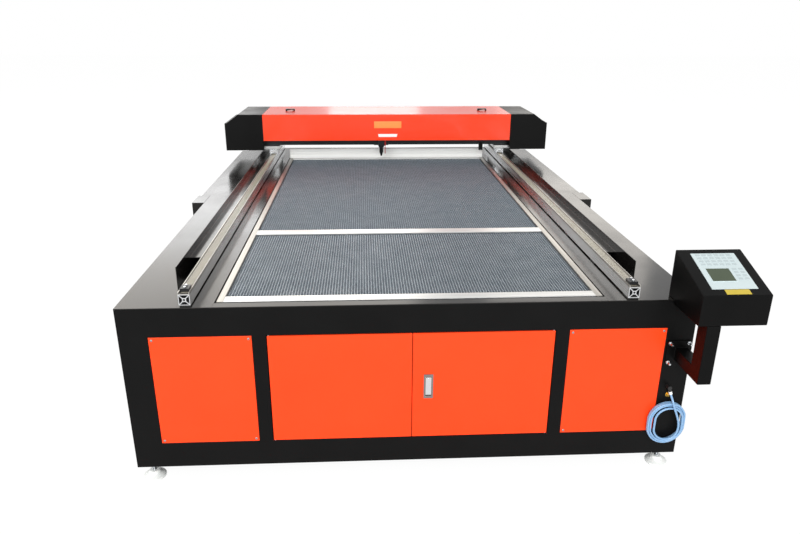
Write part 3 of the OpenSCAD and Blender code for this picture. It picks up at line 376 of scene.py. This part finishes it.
# %% Plastics, rubber and glass
# Polyester film: an even colour with a soft sheen
amber_film = make_finish("amber_polyester_film", ("#FF9A48", "#F79040"), 30, (0.28, 0.38), 0.9, 0.004)
white_film = make_finish("white_polyester_film", ("#FFFDFA", "#F6F4F0"), 30, (0.28, 0.38), 0.9, 0.004)
yellow_film = make_finish("yellow_polyester_film", ("#CDB53A", "#C2A92E"), 25, (0.28, 0.38), 0.9, 0.004)
keypad_film = make_finish("polyester_keypad_film", ("#CCD9DA", "#C2D0D2"), 60, (0.30, 0.40), 0.9, 0.004)
# Silicone, nylon and moulded plastic: no sharp highlight anywhere
key_rubber = make_finish("grey_silicone_keys", ("#BCC8CA", "#B0BDBF"), 20, (0.40, 0.52), 0.8, 0.006)
nylon = make_finish("pale_nylon", ("#F4F6F4", "#E6E9E6"), 30, (0.42, 0.55), 1.5, 0.01)
black_abs = make_finish("moulded_black_abs", ("#171717", "#121212"), 40, (0.38, 0.50), 0.9, 0.02)
red_plastic = make_finish("red_pvc_sheath", ("#B5231B", "#A01C15"), 15, (0.30, 0.40), 0.8, 0.005)
# Polyurethane: a wet gloss along every round and edge
belt_rubber = make_finish(
    "belt_polyurethane", ("#97917F", "#857F6F"), 25, (0.16, 0.26), 1.0, 0.004, Specular_IOR_Level=0.8,
)
hose_plastic = make_finish("blue_polyurethane_tube", ("#88AFD4", "#7AA2C8"), 30, (0.18, 0.28), 4.0, 0.004)
# Acrylic and glass: sharp reflections, over a dark display or in a clear tube
screen_window = make_finish("acrylic_display_window", ("#3E4C33", "#35422B"), 40, (0.05, 0.10), 5.0, 0.001)
tube_glass = make_finish(
    "borosilicate_glass", ("#F4FAFB", "#EEF6F8"), 80, (0.01, 0.03), 20.0, 0.001,
    IOR=1.47, Transmission_Weight=1.0,
)
print("plastics and glass made")

# %% [markdown]
# Each CAD solid gets the finish of its material slot. The black slot is split into coat and enamel, the
# orange one into panels, cover and lid, and the aluminium one by the way its pieces run.

# %% Finishes for the solids
finish_of_slot = {
    "black_coat": black_coat, "orange_coat": orange_coat, "silver_aluminium": rail_aluminium,
    "comb_aluminium": comb_foil, "zinc_steel": zinc_steel, "lock_chrome": chrome_plate,
    "belt_rubber": belt_rubber, "pad_plastic": nylon, "black_plastic": black_abs,
    "keypad_film": keypad_film, "screen_plastic": screen_window, "yellow_plate": yellow_film,
    "brass": brass, "hose_blue": hose_plastic, "tube_glass": tube_glass,
    "black_anodise": black_anodise, "grey_case": grey_coat, "red_plastic": red_plastic,
}
finish_of_node = {node: finish_of_slot[slot] for node, slot in slot_of_node.items()}
for node in ("deck_ends", "deck_sides", "rail_guards", "cable_ducts"):
    finish_of_node[node] = black_enamel
for node in ("console_box", "console_arm"):
    finish_of_node[node] = console_coat
finish_of_node["gantry_covers"] = orange_enamel
# The lid takes the deeper copy of the orange enamel, painted shade
finish_of_node["gantry_lid"] = lid_painted_shade_enamel
for node in ("bed_cross_bars", "carriage_plates", "head_slide"):
    finish_of_node[node] = cross_aluminium
# The fence's near-white finish is a painted reflection of the bright room
finish_of_node["rear_fence"] = fence_painted_reflection_aluminium
finish_of_node["door_lock"] = worn_chrome
finish_of_node["bed_side_bars"] = side_aluminium
finish_of_node["guide_channels"] = channel_aluminium
for node, solid in nodes.items():
    solid.data.materials.clear()
    solid.data.materials.append(finish_of_node[node])
hose_curve.materials.append(hose_plastic)
print(f"{len(nodes)} solids have their finish")

# %% [markdown]
# Small tools for the modelling cells come next. Everything is deselected before a piece is added or
# changed, because an operator acts on all that is selected. A Bevel modifier rounds the edges, and weighted
# normals keep the large faces flat. `finish_piece` gives a piece its finish and says which body carries it.

# %% Modelling tools
# An edge sharper than this angle is rounded, in this many steps
ROUND_ANGLE, ROUND_STEPS = math.radians(35), 2


def start_clean():
    """Leave edit mode and select nothing."""
    if bpy.context.mode != "OBJECT":
        bpy.ops.object.mode_set(mode="OBJECT")
    bpy.ops.object.select_all(action="DESELECT")


def pick(piece):
    """Select one object alone and make it active."""
    start_clean()
    piece.select_set(True)
    bpy.context.view_layer.objects.active = piece


def use_modifier(piece, kind, **settings):
    """Add a modifier, set it and apply it."""
    bpy.ops.object.mode_set(mode="OBJECT")
    bpy.context.view_layer.objects.active = piece
    modifier = piece.modifiers.new(kind.lower(), kind)
    for name, value in settings.items():
        setattr(modifier, name, value)
    bpy.ops.object.modifier_apply(modifier=modifier.name)


def round_edges(piece, width):
    """Round every sharp edge and smooth the shading, with the large faces kept flat."""
    use_modifier(
        piece, "BEVEL", width=width, segments=ROUND_STEPS, limit_method="ANGLE", angle_limit=ROUND_ANGLE,
        use_clamp_overlap=True,
    )
    pick(piece)
    bpy.ops.object.shade_smooth_by_angle(angle=ROUND_ANGLE)
    use_modifier(piece, "WEIGHTED_NORMAL", keep_sharp=True)


def finish_piece(piece, material, body, slot, *stands_for):
    """Give a piece its finish, the body that carries it and the solids that it stands for."""
    start_clean()
    piece.data.name = piece.name
    piece.data.materials.clear()
    piece.data.materials.append(material)
    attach(piece, body)
    if stands_for:
        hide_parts(*stands_for)
    return piece


print("modelling tools ready")

# %% [markdown]
# Folded and cut sheet never has a knife edge: the bend or the coat rounds it, and that thin bright line is
# what shows where one sheet ends and the next begins. A solid's own mesh is left alone. A copy of it is
# welded, its flat triangles are dissolved into whole faces, and a small bevel rounds what is left.

# %% Rounded sheet metal and castings
# Corners closer than WELD are one corner, and faces that lie within FLAT of each other are one face
WELD = 1e-6
FLAT = math.radians(0.5)
# How wide the rounded edge of each solid is
EDGE_MM = {
    "front_frame": 2.0, "front_panels": 1.2, "door_left": 2.5, "door_right": 2.5, "deck_ends": 0.6,
    "deck_sides": 1.0, "side_skins": 1.0, "rear_skin": 0.8, "cable_ducts": 2.0, "rail_guards": 0.9,
    "rear_fence": 1.2, "bed_side_bars": 1.5, "bed_cross_bars": 1.5, "belt_clamps": 1.2, "console_box": 3.0,
    "console_arm": 2.5, "end_housings": 4.0, "gantry_covers": 0.8, "gantry_lid": 1.0, "lid_handles": 2.5,
    "limit_bracket": 1.0, "laser_head": 1.0, "head_slide": 1.0, "carriage_plates": 1.5, "drive_motors": 1.5,
    "bearing_blocks": 1.5, "door_lock": 0.8, "lock_lever": 0.8, "tube_mounts": 1.0,
    "laser_power_supply": 2.0, "motion_controller": 2.0, "console_keypad": 0.4, "console_screen": 0.3,
    "console_plate": 0.3, "foot_pads": 1.0, "foot_nuts": 0.6, "clamp_bolts": 0.6, "console_bolts": 0.5,
    "air_fitting": 0.6, "earth_stud": 0.4, "focus_tube": 0.5, "pointer": 0.5,
}


def welded_copy(name, node):
    """A copy of a CAD solid with its loose triangles welded, in edit mode and all selected."""
    copy = bpy.data.objects.new(name, nodes[node].data.copy())
    bpy.context.collection.objects.link(copy)
    pick(copy)
    bpy.ops.object.mode_set(mode="EDIT")
    bpy.ops.mesh.select_all(action="SELECT")
    bpy.ops.mesh.remove_doubles(threshold=WELD)
    return copy


def rounded_copy(node, width):
    """A welded copy of a CAD solid with its sharp edges rounded, standing for that solid."""
    copy = welded_copy(f"{node}_rounded", node)
    bpy.ops.mesh.dissolve_limited(angle_limit=FLAT)
    bpy.ops.object.mode_set(mode="OBJECT")
    round_edges(copy, width)
    return finish_piece(copy, finish_of_node[node], body_of_node[node], slot_of_node[node], node)


rounded = {node: rounded_copy(node, edge * MM) for node, edge in EDGE_MM.items()}
print(f"{len(rounded)} solids rounded, {sum(len(piece.data.polygons) for piece in rounded.values())} faces")

# %% [markdown]
# A new piece starts from a primitive. `add_box` stretches a cube between two corners and applies its
# transform, so that its place is in its mesh. Faces are then chosen by the way they point and shaped in
# edit mode, and an Array modifier repeats what is modelled once.

# %% Tools for new pieces
# A face counts as facing an axis where its unit normal reaches this far along it
FACING = 0.9


def add_box(name, low, high):
    """A new cube stretched between two corners, as the active object."""
    start_clean()
    low, high = Vector(low), Vector(high)
    bpy.ops.mesh.primitive_cube_add(size=1, location=(low + high) / 2)
    box = bpy.context.object
    box.name = name
    box.scale = high - low
    bpy.ops.object.transform_apply(location=True, rotation=True, scale=True)
    return box


def select_faces(piece, test):
    """Go to edit mode with only the faces selected whose normal passes the test."""
    bpy.context.view_layer.objects.active = piece
    if bpy.context.mode != "OBJECT":
        bpy.ops.object.mode_set(mode="OBJECT")
    bpy.ops.object.mode_set(mode="EDIT")
    bpy.ops.mesh.select_mode(type="FACE")
    bpy.ops.mesh.select_all(action="DESELECT")
    bpy.ops.object.mode_set(mode="OBJECT")
    for face in piece.data.polygons:
        face.select = bool(test(face.normal))
    bpy.ops.object.mode_set(mode="EDIT")


def sink(thickness, depth):
    """Inset the selected faces and extrude them down."""
    bpy.ops.mesh.inset(thickness=thickness)
    bpy.ops.mesh.extrude_region_move(TRANSFORM_OT_translate={"value": (0, 0, -depth)})


def repeat(piece, count, step):
    """Repeat a piece in a row by an Array modifier."""
    use_modifier(
        piece, "ARRAY", count=count, use_relative_offset=False, use_constant_offset=True,
        constant_offset_displace=step,
    )


print("tools for new pieces ready")

# %% [markdown]
# The bed is aluminium honeycomb: thin foil glued into hexagonal cells and held in a tray. One cell is
# modelled, a hexagon inset to its wall and extruded down, and two Array modifiers lay it out in staggered
# columns that run the length of the bed, about 10 mm apart. A real wall is about 0.1 mm thick, too fine to
# show, so it is drawn as coarse as it needs to show. The rear field is laid in three strips, to keep each
# mesh light. The pan under the cells is painted dark as the shade under an open honeycomb, and the walls of
# the cells are painted darker than their cut edges as shade, so the cut edges stand out.

# %% Honeycomb fields
TRAY_WALL = 3 * MM
CELL_PITCH, CELL_WALL, CELL_DEPTH = 10.3 * MM, 2.0 * MM, 12 * MM
# Columns of hexagons lie one and a half radii apart, and the cells of a column lie root three radii apart
CELL_RADIUS = CELL_PITCH / 1.5
CELL_LENGTH = math.sqrt(3) * CELL_RADIUS


def cell_strip(name, first, column_pairs, rows):
    """Open cells in staggered columns, from the middle of the first cell."""
    start_clean()
    bpy.ops.mesh.primitive_circle_add(
        vertices=6, radius=CELL_RADIUS, fill_type="NGON", rotation=(0, 0, math.pi / 2), location=first,
    )
    cells = bpy.context.object
    cells.name = name
    bpy.ops.object.transform_apply(location=True, rotation=True, scale=True)
    select_faces(cells, lambda n: True)
    sink(CELL_WALL / 2, CELL_DEPTH)
    bpy.ops.mesh.delete(type="FACE")
    bpy.ops.mesh.select_all(action="SELECT")
    bpy.ops.mesh.duplicate_move(TRANSFORM_OT_translate={"value": (CELL_PITCH, CELL_LENGTH / 2, 0)})
    repeat(cells, column_pairs, (2 * CELL_PITCH, 0, 0))
    repeat(cells, rows, (0, CELL_LENGTH, 0))
    return cells


def honeycomb(node, strips, edges, walls):
    """A dark pan, painted shade, in place of a CAD slab, full of hexagonal cells in strips along the bed."""
    low, high, centre = span(node)
    pan = add_box(f"{node}_pan", low, high)
    select_faces(pan, lambda n: n.z > FACING)
    sink(TRAY_WALL, CELL_DEPTH)
    # The pan is painted dark as the shade under the open cells
    finish_piece(pan, painted_shade_pan, "machine", "black_coat")
    room = high - low - Vector((2 * TRAY_WALL, 2 * TRAY_WALL, 0))
    column_pairs = int((room.x - CELL_RADIUS / 2) / (2 * CELL_PITCH))
    # Every other column starts half a cell later, so half a cell of room is kept for it
    rows = int((room.y / CELL_LENGTH - 0.5) / strips)
    first_x = centre.x - (2 * column_pairs - 1) * CELL_PITCH / 2
    first_y = centre.y - (rows * strips - 0.5) * CELL_LENGTH / 2
    for strip in range(strips):
        first = (first_x, first_y + strip * rows * CELL_LENGTH, high.z)
        cells = cell_strip(f"{node}_cells_{strip + 1}", first, column_pairs, rows)
        stands_for = [node] if strip == 0 else []
        finish_piece(cells, edges, "machine", "comb_aluminium", *stands_for)
        cells.data.materials.append(walls)
        # Upright faces are the cell walls and take the darker finish, painted shade; the cut edges take the
        # brighter one
        for face in cells.data.polygons:
            face.material_index = int(abs(face.normal.z) < FACING)
    print(f"{node}: {2 * column_pairs} by {rows * strips} cells in {strips} pieces")


# The front field gets a stronger painted highlight on its edges and deeper painted shade on its walls
honeycomb("honeycomb_front", 1, painted_highlight_cell_edges, painted_deep_shade_cell_walls)
honeycomb("honeycomb_rear", 3, comb_foil, painted_shade_cell_walls)

# %% [markdown]
# Small hardware is modelled once and copied to each place where the frame has it. `turned` makes a solid of
# revolution by extruding and resizing a disc step by step, `loose_boxes` finds the separate solids of a
# node, `join_pieces` makes one mesh of several, and `copies_at` places the copies.

# %% Tools for small hardware
TURNED_SIDES = 24


def turned(name, start, towards, profile):
    """A solid of revolution: each row of the profile is a radius and a height along the axis."""
    start_clean()
    (radius, height), *steps = profile
    bpy.ops.mesh.primitive_circle_add(vertices=TURNED_SIDES, radius=radius, fill_type="NGON")
    piece = bpy.context.object
    piece.name = name
    bpy.ops.object.mode_set(mode="EDIT")
    bpy.ops.mesh.select_all(action="SELECT")
    for next_radius, next_height in steps:
        bpy.ops.mesh.extrude_region_move(TRANSFORM_OT_translate={"value": (0, 0, next_height - height)})
        grow = next_radius / radius
        bpy.ops.transform.resize(value=(grow, grow, 1), center_override=(0, 0, next_height - profile[0][1]))
        radius, height = next_radius, next_height
    bpy.ops.mesh.select_all(action="SELECT")
    bpy.ops.mesh.normals_make_consistent(inside=False)
    bpy.ops.object.mode_set(mode="OBJECT")
    axis = Vector(towards).normalized()
    piece.rotation_euler = axis.to_track_quat("Z", "Y").to_euler()
    piece.location = Vector(start) + axis * profile[0][1]
    bpy.ops.object.transform_apply(location=True, rotation=True, scale=True)
    bpy.ops.object.shade_smooth_by_angle(angle=ROUND_ANGLE)
    return piece


def loose_boxes(node):
    """The low and high corner of each separate solid in a CAD node."""
    welded_copy("measure", node)
    bpy.ops.mesh.separate(type="LOOSE")
    bpy.ops.object.mode_set(mode="OBJECT")
    boxes = []
    for solid in bpy.context.selected_objects:
        sides = list(zip(*solid.bound_box))
        boxes.append((Vector([min(side) for side in sides]), Vector([max(side) for side in sides])))
    bpy.ops.object.delete()
    return sorted(boxes, key=lambda box: tuple(box[0]))


def join_pieces(name, pieces):
    """Join several objects into one mesh."""
    start_clean()
    for piece in pieces:
        piece.select_set(True)
    bpy.context.view_layer.objects.active = pieces[0]
    bpy.ops.object.join()
    pieces[0].name = name
    return pieces[0]


def copies_at(piece, moves):
    """The piece and a copy of it at each move, joined into one mesh."""
    pieces = [piece]
    for move in moves:
        pick(piece)
        bpy.ops.object.duplicate()
        twin = bpy.context.object
        twin.location = move
        bpy.ops.object.transform_apply(location=True, rotation=True, scale=True)
        pieces.append(twin)
    return join_pieces(piece.name, pieces)


print("tools for small hardware ready")

# %% [markdown]
# A foot is an M16 stud: its thread is turned as a row of ridges 2 mm apart, because at this size the lead
# of a thread can't be seen. A panel screw is a low pan head with a cross recess, cut by a Boolean modifier.

# %% Threaded studs and panel screws
THREAD_PITCH, THREAD_DEPTH = 2.0 * MM, 1.2 * MM


def threaded_stud(name, low, high):
    """A turned stud with a ridge at every turn of its thread."""
    crest = (high.x - low.x) / 2
    root, length = crest - THREAD_DEPTH, high.z - low.z
    profile, height = [(root, 0.0)], THREAD_PITCH / 2
    while height < length - THREAD_PITCH / 2:
        profile += [(crest, height), (root, height + THREAD_PITCH / 2)]
        height += THREAD_PITCH
    foot = Vector(((low.x + high.x) / 2, (low.y + high.y) / 2, low.z))
    return turned(name, foot, (0, 0, 1), [*profile, (root, length)])


stud_boxes = loose_boxes("foot_studs")
stud_low = stud_boxes[0][0]
studs = threaded_stud("foot_studs_threaded", *stud_boxes[0])
studs = copies_at(studs, [low - stud_low for low, high in stud_boxes[1:]])
finish_piece(studs, zinc_steel, "machine", "zinc_steel", "foot_studs")

SCREW_SLOT, SCREW_SLOT_LENGTH, SCREW_SLOT_DEPTH = 0.9 * MM, 4.6 * MM, 1.2 * MM
screw_boxes = loose_boxes("panel_screws")
screw_low, screw_high = screw_boxes[0]
head_radius, head_height = (screw_high.x - screw_low.x) / 2, screw_high.y - screw_low.y
head_centre = (screw_low + screw_high) / 2
# The head has an upright rim and a crown that draws in as it rises
RIM_SHARE, CROWN_STEPS, CROWN_DRAWS_IN, CROWN_INWARD, CROWN_UPWARD = 0.35, 5, 0.4, 1.6, 0.8
dome = [(head_radius, 0.0), (head_radius, RIM_SHARE * head_height)]
for step in range(1, CROWN_STEPS + 1):
    rise = step / CROWN_STEPS
    crown_radius = head_radius * (1 - CROWN_DRAWS_IN * rise**CROWN_INWARD)
    dome.append((crown_radius, head_height * (RIM_SHARE + (1 - RIM_SHARE) * rise**CROWN_UPWARD)))
screws = turned("panel_screws_cross", (head_centre.x, screw_high.y, head_centre.z), (0, -1, 0), dome)
for slot_x, slot_z in ((SCREW_SLOT_LENGTH, SCREW_SLOT), (SCREW_SLOT, SCREW_SLOT_LENGTH)):
    reach = Vector((slot_x / 2, 0, slot_z / 2))
    cutter = add_box(
        "screw_recess", (head_centre.x - reach.x, screw_low.y - MM, head_centre.z - reach.z),
        (head_centre.x + reach.x, screw_low.y + SCREW_SLOT_DEPTH, head_centre.z + reach.z),
    )
    use_modifier(screws, "BOOLEAN", operation="DIFFERENCE", object=cutter)
    pick(cutter)
    bpy.ops.object.delete()
screws = copies_at(screws, [low - screw_low for low, high in screw_boxes[1:]])
finish_piece(screws, dull_zinc, "machine", "zinc_steel", "panel_screws")
print(f"{len(stud_boxes)} threaded studs and {len(screw_boxes)} screws")

# %% [markdown]
# The drive belts are toothed. Each is a flat band with a row of moulded teeth 8 mm apart, a tapered tooth
# repeated by an Array modifier, and the teeth reach only as high as the frame's own belt.

# %% Toothed belts
TOOTH_PITCH, TOOTH_LENGTH, TOOTH_HEIGHT, TOOTH_TAPER = 8.0 * MM, 4.4 * MM, 0.9 * MM, 0.6
BAND_EDGE = 0.2 * MM
belts = []
for low, high in loose_boxes("drive_belts"):
    band = add_box("belt_band", low, high - Vector((0, 0, TOOTH_HEIGHT)))
    round_edges(band, BAND_EDGE)
    tooth_low = Vector((low.x, low.y + TOOTH_PITCH / 2, high.z - TOOTH_HEIGHT))
    teeth = add_box("belt_teeth", tooth_low, (high.x, tooth_low.y + TOOTH_LENGTH, high.z))
    tooth_top = (0, tooth_low.y + TOOTH_LENGTH / 2, high.z)
    select_faces(teeth, lambda n: n.z > FACING)
    bpy.ops.transform.resize(value=(1, TOOTH_TAPER, 1), center_override=tooth_top)
    select_faces(teeth, lambda n: n.z < -FACING)
    bpy.ops.mesh.delete(type="ONLY_FACE")
    # The first tooth starts half a pitch in, and the row stops short of the belt's end
    repeat(teeth, int((high.y - low.y) / TOOTH_PITCH - 0.5), (0, TOOTH_PITCH, 0))
    belts.append(join_pieces("belt", [band, teeth]))
belts = join_pieces("drive_belts_toothed", belts)
finish_piece(belts, belt_rubber, "machine", "belt_rubber", "drive_belts")
print(f"belts with {len(belts.data.polygons)} faces")

# %% [markdown]
# The front of the gantry cover has two plain film plates, and the elbow ends in the pale release ring that
# every push-in air fitting has. A plate's edge is a tiny step, so it is inset and raised by a fraction of a
# millimetre.

# %% Cover plates and release ring
FILM, FILM_INSET, FILM_RISE, FILM_EDGE = 0.6 * MM, 2.0 * MM, 0.3 * MM, 0.15 * MM
# Half the width of a plate, its lower and upper edge over the floor, and how far its lower corners draw in
AMBER_HALF, AMBER_LOW, AMBER_HIGH, AMBER_DRAFT = 93 * MM, 960 * MM, 1005 * MM, 0.0
WHITE_HALF, WHITE_LOW, WHITE_HIGH, WHITE_DRAFT = 66 * MM, 900 * MM, 920 * MM, 4 * MM
cover_low, _, cover_middle = span("gantry_covers")


def film_plate(name, half_width, low_z, high_z, draft, material, slot):
    """A thin plate on the front of the cover, with an inset face and its lower corners drawn in."""
    plate = add_box(
        name, (cover_middle.x - half_width, cover_low.y - FILM, low_z),
        (cover_middle.x + half_width, cover_low.y + FILM, high_z),
    )
    select_faces(plate, lambda n: n.z < -FACING)
    bpy.ops.transform.resize(value=(1 - draft / half_width, 1, 1), center_override=(cover_middle.x, 0, low_z))
    select_faces(plate, lambda n: n.y < -FACING)
    bpy.ops.mesh.inset(thickness=FILM_INSET)
    bpy.ops.transform.translate(value=(0, -FILM_RISE, 0))
    round_edges(plate, FILM_EDGE)
    finish_piece(plate, material, "gantry", slot)


film_plate(
    "cover_plate_amber", AMBER_HALF, AMBER_LOW, AMBER_HIGH, AMBER_DRAFT, amber_film, "yellow_plate",
)
film_plate("cover_plate_white", WHITE_HALF, WHITE_LOW, WHITE_HIGH, WHITE_DRAFT, white_film, "keypad_film")
# Each row is a radius and a height from the mouth of the fitting, in millimetres
RING = [(6.4, 0.0), (6.4, 4.0), (5.6, 4.6), (5.6, 9.0), (6.8, 9.6), (6.8, 11.4), (6.2, 12.0)]
ring_way = Vector(HOSE_STEPS_MM[1])
ring = turned("release_ring", HOSE_EXIT, ring_way, [(r * MM, h * MM) for r, h in RING])
finish_piece(ring, nylon, "machine", "pad_plastic")
print("plates and ring placed")

# %% [markdown]
# The keypad is a film over silicone keys. Its blank keys are one rounded pad, repeated by two Array
# modifiers in the keypad's own slope, and a raised lip surrounds the display. They are modelled lying flat
# and then tilted together.

# %% Keys and display lip
KEYPAD_SLOPE, KEYPAD_THICK = math.radians(18.9), 2.0 * MM
KEY, KEY_PITCH, KEY_HEIGHT, KEY_EDGE = (15 * MM, 11 * MM), (22 * MM, 17 * MM), 1.0 * MM, 0.6 * MM
LIP_WIDTH, LIP_HEIGHT, LIP_EDGE = 2.5 * MM, 1.6 * MM, 0.3 * MM
# The keys and the lip reach a little below the film, and the window of the lip less so
KEY_FOOT, WINDOW_FOOT = 0.5 * MM, 0.2 * MM
# The place of the first key from the keypad's lower left corner, then how many columns and rows
TOP_KEYS = (14 * MM, 122 * MM, 6, 4)
SIDE_KEYS = (112 * MM, 45 * MM, 2, 4)
keypad_low = span("console_keypad")[0]
screen_low, screen_high, _ = span("console_screen")
keypad_corner = Vector((keypad_low.x, keypad_low.y, keypad_low.z + KEYPAD_THICK * math.cos(KEYPAD_SLOPE)))


def on_slope(piece):
    """Tilt a flat piece to the keypad's slope and put it on the keypad's lower left corner."""
    pick(piece)
    piece.rotation_euler = (KEYPAD_SLOPE, 0, 0)
    piece.location = keypad_corner
    bpy.ops.object.transform_apply(location=True, rotation=True, scale=True)
    return piece


def key_block(x, y, columns, rows):
    """A block of blank keys whose first key has its lower left corner at x, y on the keypad."""
    keys = add_box("keys", (x, y, -KEY_FOOT), (x + KEY[0], y + KEY[1], KEY_HEIGHT))
    round_edges(keys, KEY_EDGE)
    repeat(keys, columns, (KEY_PITCH[0], 0, 0))
    repeat(keys, rows, (0, KEY_PITCH[1], 0))
    return keys


screen_x = (screen_low.x - keypad_low.x, screen_high.x - keypad_low.x)
slope_run = math.cos(KEYPAD_SLOPE)
screen_y = ((screen_low.y - keypad_low.y) / slope_run, (screen_high.y - keypad_low.y) / slope_run)
keys = join_pieces("keypad_keys", [key_block(*TOP_KEYS), key_block(*SIDE_KEYS)])
finish_piece(on_slope(keys), key_rubber, "machine", "keypad_film")
lip = add_box(
    "display_lip", (screen_x[0] - LIP_WIDTH, screen_y[0] - LIP_WIDTH, -KEY_FOOT),
    (screen_x[1] + LIP_WIDTH, screen_y[1] + LIP_WIDTH, LIP_HEIGHT),
)
select_faces(lip, lambda n: n.z > FACING)
sink(LIP_WIDTH, LIP_HEIGHT + WINDOW_FOOT)
round_edges(lip, LIP_EDGE)
finish_piece(on_slope(lip), keypad_film, "machine", "keypad_film")
print(f"{len(keys.data.polygons)} faces of keys, display lip {LIP_WIDTH / MM} mm wide")

# %% [markdown]
# The floor is a pale studio floor that runs out of sight. To the camera and in reflections, most of what it
# shows is a white glow, and the rest is paint that keeps the machine's shadow.

# %% Floor
FLOOR_SIZE, FLOOR_COLOUR, FLOOR_ROUGHNESS = 60.0, "#F4F4F3", 0.8
FLOOR_GLOW = 0.88
FLOOR_WHITE = 1.06


def seen_directly(tree):
    """One where a ray comes from the camera, a reflection or a glass, and nought for diffuse light."""
    path = add_node(tree, "ShaderNodeLightPath", {}, {})
    seen = path.outputs["Is Camera Ray"]
    for kind in ("Is Glossy Ray", "Is Transmission Ray"):
        either = {0: seen, 1: path.outputs[kind]}
        seen = add_node(tree, "ShaderNodeMath", {"operation": "MAXIMUM"}, either).outputs[0]
    return seen


start_clean()
bpy.ops.mesh.primitive_plane_add(size=FLOOR_SIZE, location=(0, 0, 0))
floor = bpy.context.object
floor.name = "studio_floor"
floor_paint = bpy.data.materials.new("pale_studio_floor")
floor_paint.use_nodes = True
tree = floor_paint.node_tree
floor_shader = tree.nodes["Principled BSDF"]
floor_shader.inputs["Base Color"].default_value = linear(FLOOR_COLOUR)
floor_shader.inputs["Roughness"].default_value = FLOOR_ROUGHNESS
floor_shader.inputs["Specular IOR Level"].default_value = 0.0
glow = add_node(tree, "ShaderNodeEmission", {}, {"Color": (1, 1, 1, 1), "Strength": FLOOR_WHITE})
share = add_node(tree, "ShaderNodeMath", {"operation": "MULTIPLY"}, {0: seen_directly(tree), 1: FLOOR_GLOW})
both = add_node(
    tree, "ShaderNodeMixShader", {},
    {0: share.outputs[0], 1: floor_shader.outputs["BSDF"], 2: glow.outputs["Emission"]},
)
tree.links.new(both.outputs[0], tree.nodes["Material Output"].inputs["Surface"])
floor.data.materials.append(floor_paint)
print(f"floor {FLOOR_SIZE} m wide")

# %% [markdown]
# The world behind the floor is white to the camera and in reflections, where a strength of 1 is white, and
# dimmer as a source of light.

# %% World
WORLD_LIGHT = 0.55
world = bpy.data.worlds.new("white_room")
bpy.context.scene.world = world
world.use_nodes = True
tree = world.node_tree
room_light = tree.nodes["Background"]
room_light.inputs["Color"].default_value = (1, 1, 1, 1)
room_light.inputs["Strength"].default_value = WORLD_LIGHT
white_wall = add_node(tree, "ShaderNodeBackground", {}, {"Color": (1, 1, 1, 1), "Strength": 1.0})
both = add_node(
    tree, "ShaderNodeMixShader", {},
    {0: seen_directly(tree), 1: room_light.outputs[0], 2: white_wall.outputs[0]},
)
tree.links.new(both.outputs[0], tree.nodes["World Output"].inputs["Surface"])
print(f"white world, {WORLD_LIGHT} as a light")

# %% [markdown]
# Four soft lamps stand behind the machine: a high and a low one at the left and one at the right give the
# deck its long pale reflections, and a small one in the middle is mirrored in the lid. From the front, a
# wide lamp at the left models the panels, and a low one reaches under the gantry to the fence.

# %% Lamps
def soft_lamp(name, place, aim, size, watts, colour):
    """A rectangular soft lamp that points at a place."""
    start_clean()
    bpy.ops.object.light_add(type="AREA", location=place)
    lamp = bpy.context.object
    lamp.name = name
    lamp.data.shape = "RECTANGLE"
    lamp.data.size, lamp.data.size_y = size
    lamp.data.energy = watts
    lamp.data.color = linear(colour)[:3]
    lamp.rotation_euler = (Vector(aim) - Vector(place)).to_track_quat("-Z", "Y").to_euler()


WARM, WHITE = "#FFF8EE", "#FFFFFF"
BACK_ROW = 6.0
# The back lamps stand in one row and point straight forward: name, place across, height, size, watts and tint
BACK_LAMPS = [
    ("back_left_lamp", -3.7, 4.6, (8.6, 3.0), 165, WARM),
    ("back_low_lamp", -4.85, 2.5, (6.3, 1.2), 70, WHITE),
    ("back_middle_lamp", -0.05, 2.4, (1.25, 1.4), 16, WHITE),
    ("back_right_lamp", 2.95, 2.9, (2.5, 2.0), 32, WARM),
]
for name, x, z, size, watts, tint in BACK_LAMPS:
    soft_lamp(name, (x, BACK_ROW, z), (x, 0.0, z), size, watts, tint)
soft_lamp("front_left_lamp", (-5.4, -15.7, 10.5), (0.0, -0.6, 0.4), (10.8, 10.8), 2500, WHITE)
soft_lamp("front_low_lamp", (2.0, -14.0, 3.4), (0.0, 1.2, 0.75), (5.0, 3.0), 480, WHITE)
bpy.context.scene.view_settings.view_transform = "Standard"
print(f"{len(BACK_LAMPS)} lamps behind and two in front")
